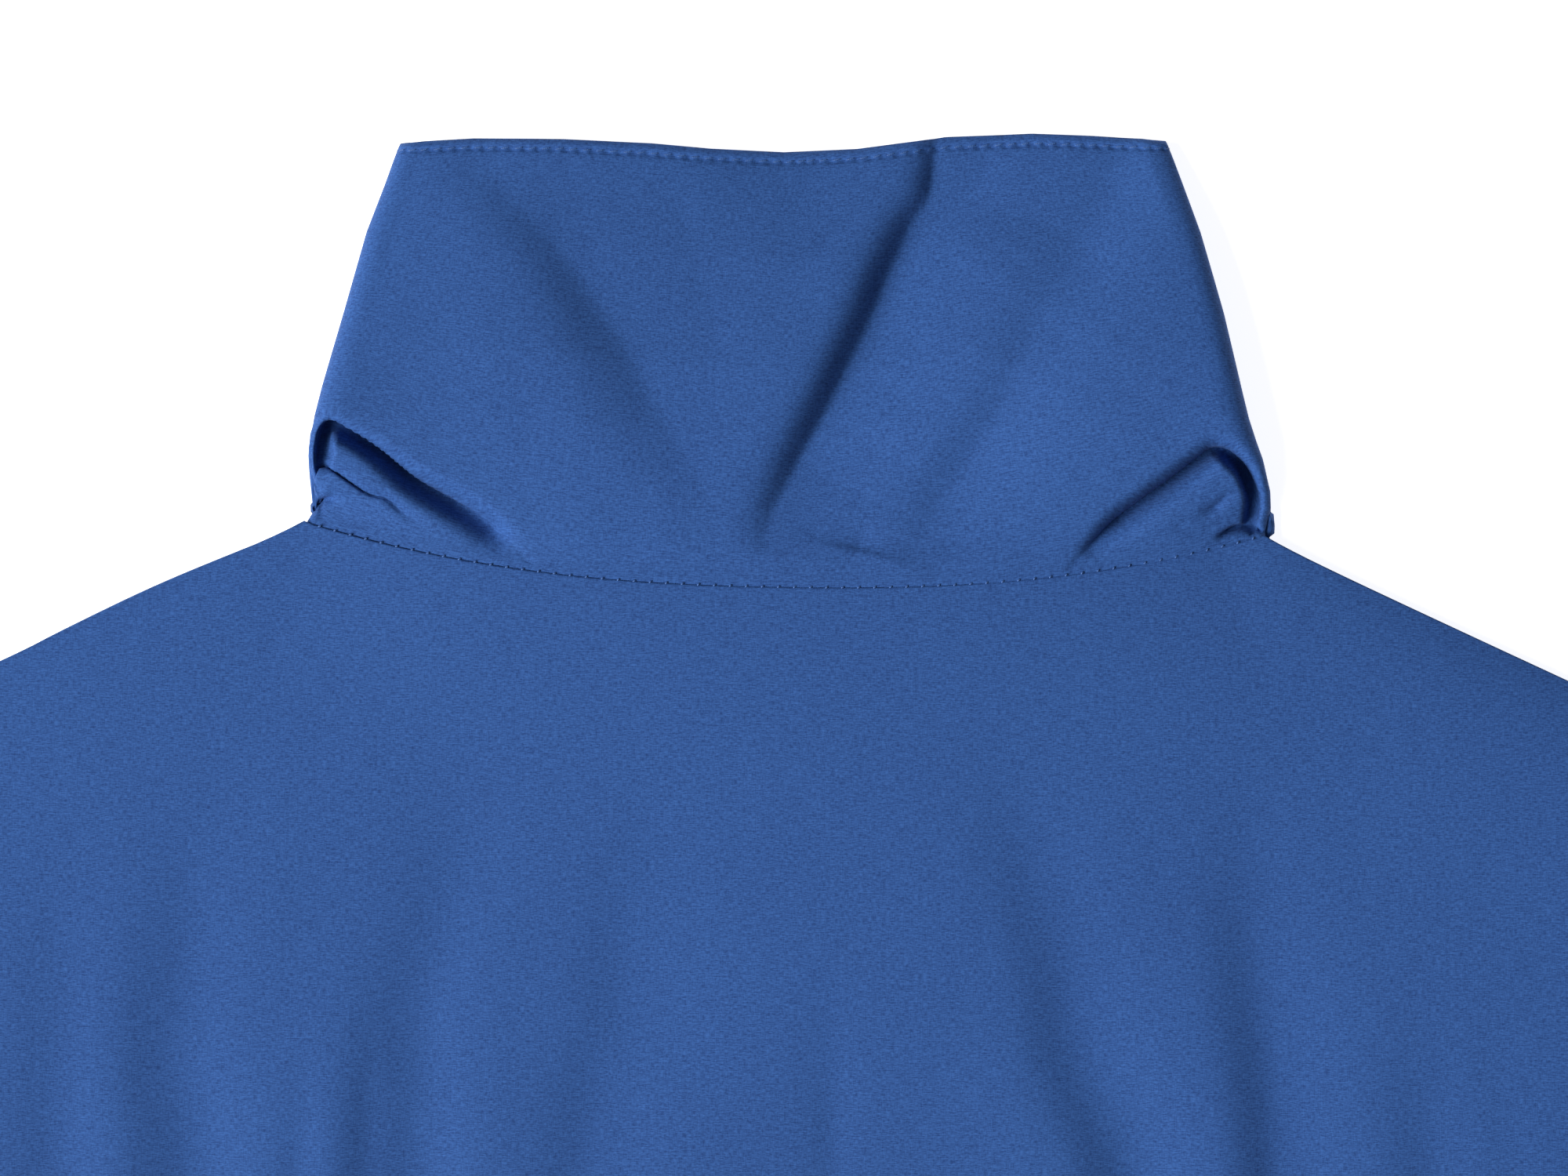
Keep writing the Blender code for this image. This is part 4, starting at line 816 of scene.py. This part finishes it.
# ---------- waistband and cuffs
# Bands of thick rib knit, cut double and folded, which draw the hem and the sleeves in. Their ribs run up and
# down, and the waistband stops at the zip.
BAND_DEPTH = 62.0
BAND_HALF = ((0, 250), (0.5, 243), (1, 246))
BAND_TOP = 6.6
BAND_DROP = 0.35
BAND_DROP_CURVE = 8
BAND_SIDE = 3.0
CUFF_RUN = (0.698, -0.716)
CUFF_LENGTH = 62.0
CUFF_HALF = ((0, 51), (0.5, 47), (1, 49))
CUFF_TOP = 6.0
RIB_PITCH = 4.2
RIB_RELIEF = 0.9
RIB_EDGE = 0.985
RIB_POINTS = 6               # across one rib
RIB_SHELL = 1.4
BAND_TURN = ((1.2, 0.5), (0.0, EDGE_TOP / 2), (0.8, 2.9))    # inset and height round its side
RIB_DARK = (0.018, 0.048, 0.165, 1.0)
RIB_LIGHT = (0.044, 0.108, 0.330, 1.0)


def rib_knit(name, dark, light):
    """Rib knit: rows of small stitches along each rib, mixed with a fine fuzz."""
    made = new_material(name)
    layout = weave_layout(made)
    chevrons = add_node(made, "ShaderNodeTexWave", {"Vector": layout, "Scale": 190.0, "Distortion": 1.6,
                                                    "Detail": 1.0, "Detail Scale": 3.0})
    chevrons.wave_type = "BANDS"
    chevrons.bands_direction = "Y"
    fuzz = add_node(made, "ShaderNodeTexNoise", {"Vector": layout, "Scale": 2600.0, "Detail": 2.0})
    fuzz.noise_dimensions = "2D"
    knit = mixed(made, chevrons.outputs["Fac"], fuzz.outputs["Fac"], 0.45)
    set_shader(made, {"Base Color": coloured(made, knit, dark, light, 0.15, 0.85), "Roughness": 0.92,
                      "Specular IOR Level": 0.2, "Sheen Weight": 0.15, "Sheen Roughness": 0.5,
                      "Sheen Tint": SHEEN_TINT, "Normal": relief(made, knit, 0.7, 0.0003)})
    return made


def turned_edges(share):
    """How much a band thins at its seam and at its folded edge, at a share of its depth."""
    return 0.5 * bell(share * 9, 1) + 0.6 * bell((1 - share) * 12, 1)


def ribbed(half, height):
    """Shares across a band from -1 to 1, and the height of its ribbed upper layer there."""
    ribs = int(2 * half / RIB_PITCH)
    share = np.linspace(-1, 1, ribs * RIB_POINTS + 1)
    phase = (share + 1) / 2 * ribs
    rib = np.sqrt((1 - np.cos(2 * math.pi * phase)) / 2)
    drop = height * (1 - BAND_DROP * np.abs(share) ** BAND_DROP_CURVE)
    return share, drop + RIB_RELIEF * rib * (np.abs(share) < RIB_EDGE)


blue_rib = rib_knit("blue_rib", RIB_DARK, RIB_LIGHT)

share, height = ribbed(BAND_HALF[0][1], BAND_TOP)
band_steps = np.linspace(0, 1, 17)
band_rows = []
for step in band_steps:
    half = read_table(BAND_HALF, step)
    y = HEM_Y - SEAM_GAP - BAND_DEPTH * step
    lower_x = np.linspace(FRONT_EDGE, half - BAND_SIDE, 60)
    edge = turned_edges(step)
    lower = [(x, y, 0.0) for x in lower_x]
    turned = [(half - inset, y, z) for inset, z in BAND_TURN]
    top = [(x, y, h - edge) for x, h in zip(share[2:-2] * half, height[2:-2])]
    band_rows.append([(-x, y, z) for x, y, z in lower + turned] + top + (lower + turned)[::-1])
band_grid = np.array(band_rows)
band_weave = np.dstack(np.meshgrid(lengths_along(band_grid[8]), -band_steps * BAND_DEPTH))
waistband = cloth_shell("waistband_knit", band_grid[::-1], band_weave[::-1], blue_rib, thickness=RIB_SHELL)
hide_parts("waistband")
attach(waistband, "jacket")

for side, name in ((1, "cuff_right"), (-1, "cuff_left")):
    along = np.array(CUFF_RUN)
    across = np.array((-along[1], along[0]))
    share, height = ribbed(CUFF_HALF[0][1], CUFF_TOP)
    steps = np.linspace(0, 1, 17)
    half = read_table(CUFF_HALF, steps)
    centre = np.array(CUFF_CENTRE) + along * (SEAM_GAP + CUFF_LENGTH * steps)[:, None]
    plan = (centre[:, None] + across * half[:, None, None] * share[None, ::-1, None]) * (side, 1)
    ring = flattened_ring(plan, height[None] - turned_edges(steps)[:, None], EDGE_TOP)[:, ::side]
    cuff = cloth_shell(name + "_knit", ring, round_length(ring), blue_rib, ring=True, thickness=RIB_SHELL)
    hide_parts(name)
    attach(cuff, "jacket")


# ---------- zip tape and teeth
# Two strips of woven tape behind the front edges, and two rows of metal teeth clamped to them. The zip is
# closed to the top of the collar.
TAPE_BOTTOM = 1.8
TAPE_THICKNESS = 1.0
TAPE_EDGE = 15.0
TAPE_INNER = 3.3
TAPE_TOP_Y = -10.0
TAPE_SLIDER = 4.8            # the tapes part this far round the slider
TAPE_SHELL = 0.8
TAPE_STEP = (0.15, 0.3)      # its thicker inner edge, and the share of the tape that it takes
TAPE_ROWS = 160
TAPE_COLUMNS = 7
TAPE_DARK = (0.014, 0.036, 0.120, 1.0)
TAPE_LIGHT = (0.036, 0.088, 0.270, 1.0)
TOOTH_PITCH = 2.0
TOOTH_SIZE = (3.6, 1.1, 2.2)
TOOTH_MIDDLE = 1.2           # of a tooth, from the middle of the zip
TOOTH_LEVEL = 3.6
TOOTH_BEVEL = 0.28
CHAIN_TOP_Y = -24.4
CHAIN_END_Y = HEM_Y - BAND_DEPTH + 1.0
NICKEL = (0.62, 0.61, 0.58, 1.0)
WORN = 0.72                  # how dark its brush marks are

blue_tape = woven("blue_tape", TAPE_DARK, TAPE_LIGHT)
for side, name in ((1, "zip_tape_right"), (-1, "zip_tape_left")):
    tape_y = np.linspace(TAPE_TOP_Y, HEM_Y - BAND_DEPTH, TAPE_ROWS)
    inner = np.where(tape_y > CHAIN_TOP_Y, TAPE_SLIDER, TAPE_INNER)
    tape_share = np.linspace(0, 1, TAPE_COLUMNS)
    tape_x = inner[:, None] + (TAPE_EDGE - inner)[:, None] * tape_share[None]
    tape_top = TAPE_BOTTOM + TAPE_THICKNESS - TAPE_STEP[0] * (tape_share > TAPE_STEP[1])
    tape_grid = np.dstack([tape_x * side, np.repeat(tape_y[:, None], TAPE_COLUMNS, axis=1),
                           np.tile(tape_top, (TAPE_ROWS, 1))])[:, ::side]
    tape = cloth_shell(name + "_weave", tape_grid[::-1], tape_grid[::-1, :, :2], blue_tape,
                       thickness=TAPE_SHELL)
    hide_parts(name)
    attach(tape, "jacket")


def brushed_metal(name, colour, roughness):
    """Satin plated metal with fine brush marks and a little wear."""
    made = new_material(name)
    place = add_node(made, "ShaderNodeTexCoord", {}).outputs["Object"]
    marks = streaks(made, place, (9000.0, 600.0, 9000.0), dimensions="3D")
    worn = tuple(WORN * c for c in colour[:3]) + (1.0,)
    set_shader(made, {"Base Color": coloured(made, marks, worn, colour), "Metallic": 1.0,
                      "Roughness": roughness, "Normal": relief(made, marks, 0.15, 0.00005)})
    return made


nickel = brushed_metal("satin_nickel", NICKEL, 0.32)
count = int((CHAIN_TOP_Y - CHAIN_END_Y) / TOOTH_PITCH)
tooth_rows = []
for side in (1, -1):
    first_y = (NECK_SEAM_Y + CHAIN_TOP_Y - 0.6 - (0 if side > 0 else TOOTH_PITCH / 2)) * MM
    bpy.ops.mesh.primitive_cube_add(size=1, location=(side * TOOTH_MIDDLE * MM, first_y, TOOTH_LEVEL * MM))
    tooth = bpy.context.object
    tooth.scale = [k * MM for k in TOOTH_SIZE]
    bpy.ops.object.transform_apply(location=True, rotation=False, scale=True)
    rounding = tooth.modifiers.new("rounding", "BEVEL")
    rounding.width = TOOTH_BEVEL * MM
    rounding.segments = 1
    repeat = tooth.modifiers.new("repeat", "ARRAY")
    repeat.use_relative_offset = False
    repeat.use_constant_offset = True
    repeat.constant_offset_displace = (0, -TOOTH_PITCH * MM, 0)
    repeat.count = count
    bpy.ops.object.modifier_apply(modifier="rounding")
    bpy.ops.object.modifier_apply(modifier="repeat")
    tooth_rows.append(tooth)
bpy.ops.object.select_all(action="DESELECT")
for row in tooth_rows:
    row.select_set(True)
bpy.context.view_layer.objects.active = tooth_rows[0]
bpy.ops.object.join()
teeth = bpy.context.object
teeth.name = "zip_teeth"
teeth.data.materials.append(nickel)
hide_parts("zip_chain")
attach(teeth, "jacket")


# ---------- slider and pull tab
# A die-cast slider at the top of the zip, with a bridge under it, and a stamped pull tab with an eye that
# swings on that bridge.
for name in ("zip_slider", "zip_pull"):
    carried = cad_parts[name]
    carried.data.materials.clear()
    carried.data.materials.append(nickel)
bpy.ops.object.select_all(action="DESELECT")


# ---------- stitching
# Lockstitch in thread of the cloth's colour, eight stitches to the inch. The thread is painted a little
# lighter than the cloth, as a painted highlight where it catches the light. It shows as slanted stitches
# along the collar's edge, and as the dots that hold the seams of the neck, armholes, cuffs and waistband.
EDGE_THREAD = (1.7, 0.34, 0.26)      # length, width and height of a stitch of the edge
SEAM_THREAD = (0.75, 0.42, 0.40)
EDGE_SLANT = 12.0                    # degrees
SEAM_SLANT = 38.0
WANDER = (0.2, 2.4)                  # share of the slant, and step in radians from stitch to stitch
# the two blues that the thread's twist runs between, painted lighter than the cloth's as a painted highlight
THREAD_DARK_WITH_PAINTED_HIGHLIGHT = (0.022, 0.072, 0.230, 1.0)
THREAD_LIGHT_WITH_PAINTED_HIGHLIGHT = (0.060, 0.150, 0.400, 1.0)

bpy.ops.mesh.primitive_uv_sphere_add(segments=6, ring_count=5, radius=0.5, rotation=(0, math.pi / 2, 0))
bpy.ops.object.transform_apply(location=False, rotation=True, scale=False)
pattern_stitch = bpy.context.object
stitch_points = np.array([v.co[:] for v in pattern_stitch.data.vertices])
stitch_faces = [list(face.vertices) for face in pattern_stitch.data.polygons]
bpy.data.objects.remove(pattern_stitch)


def stitches_on(line, along, size, slant, first=0.5):
    """Points of the stitches on a line of 3-D points, one for each stitch length of along."""
    at = np.arange(along[0] + first * STITCH, along[-1], STITCH)
    placed = []
    for k, here in enumerate(at):
        middle, before, after = (np.array([np.interp(here + step, along, line[:, axis]) for axis in range(3)])
                                 for step in (0, -0.4, 0.4))
        run = (after - before) / np.linalg.norm(after - before)
        turn = math.radians(slant * (1 + WANDER[0] * math.sin(WANDER[1] * k)))
        across = np.array((-run[1], run[0], 0)) / math.hypot(run[0], run[1])
        ahead = run * math.cos(turn) + across * math.sin(turn)
        aside = np.cross((0, 0, 1), ahead)
        up = np.cross(ahead, aside)
        placed.append(middle + (stitch_points * size) @ np.array([ahead, aside, up]))
    return placed


edge_row = np.searchsorted(collar_rows, 1 - EDGE_BAND / COLLAR_HEIGHT) + 1
edge_line = collar_grid[edge_row, upper]
laid = stitches_on(edge_line, girth[upper], EDGE_THREAD, EDGE_SLANT, 0.5 - girth[upper][0] / STITCH % 1)
laid += stitches_on(neck_stitches, lengths_along(neck_stitches), SEAM_THREAD, SEAM_SLANT)
for line in [hem_stitches] + sleeve_stitches:
    laid += stitches_on(line, lengths_along(line), SEAM_THREAD, SEAM_SLANT)
faces = [[corner + k * len(stitch_points) for corner in face]
         for k in range(len(laid)) for face in stitch_faces]
thread_mesh = bpy.data.meshes.new("stitching")
thread_mesh.from_pydata(to_frame(np.vstack(laid)).tolist(), [], faces)
thread_mesh.shade_smooth()
stitching = new_object("stitching", thread_mesh)

# thread material: its twist between two blues that are painted lighter than the cloth, as a painted highlight
thread = new_material("blue_thread_painted_highlight")
place = add_node(thread, "ShaderNodeTexCoord", {}).outputs["Object"]
twist = add_node(thread, "ShaderNodeTexWave", {"Vector": place, "Scale": 900.0, "Distortion": 2.0})
set_shader(thread, {"Base Color": coloured(thread, twist.outputs["Fac"], THREAD_DARK_WITH_PAINTED_HIGHLIGHT, THREAD_LIGHT_WITH_PAINTED_HIGHLIGHT),
                    "Roughness": 0.55})
thread_mesh.materials.append(thread)
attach(stitching, "jacket")
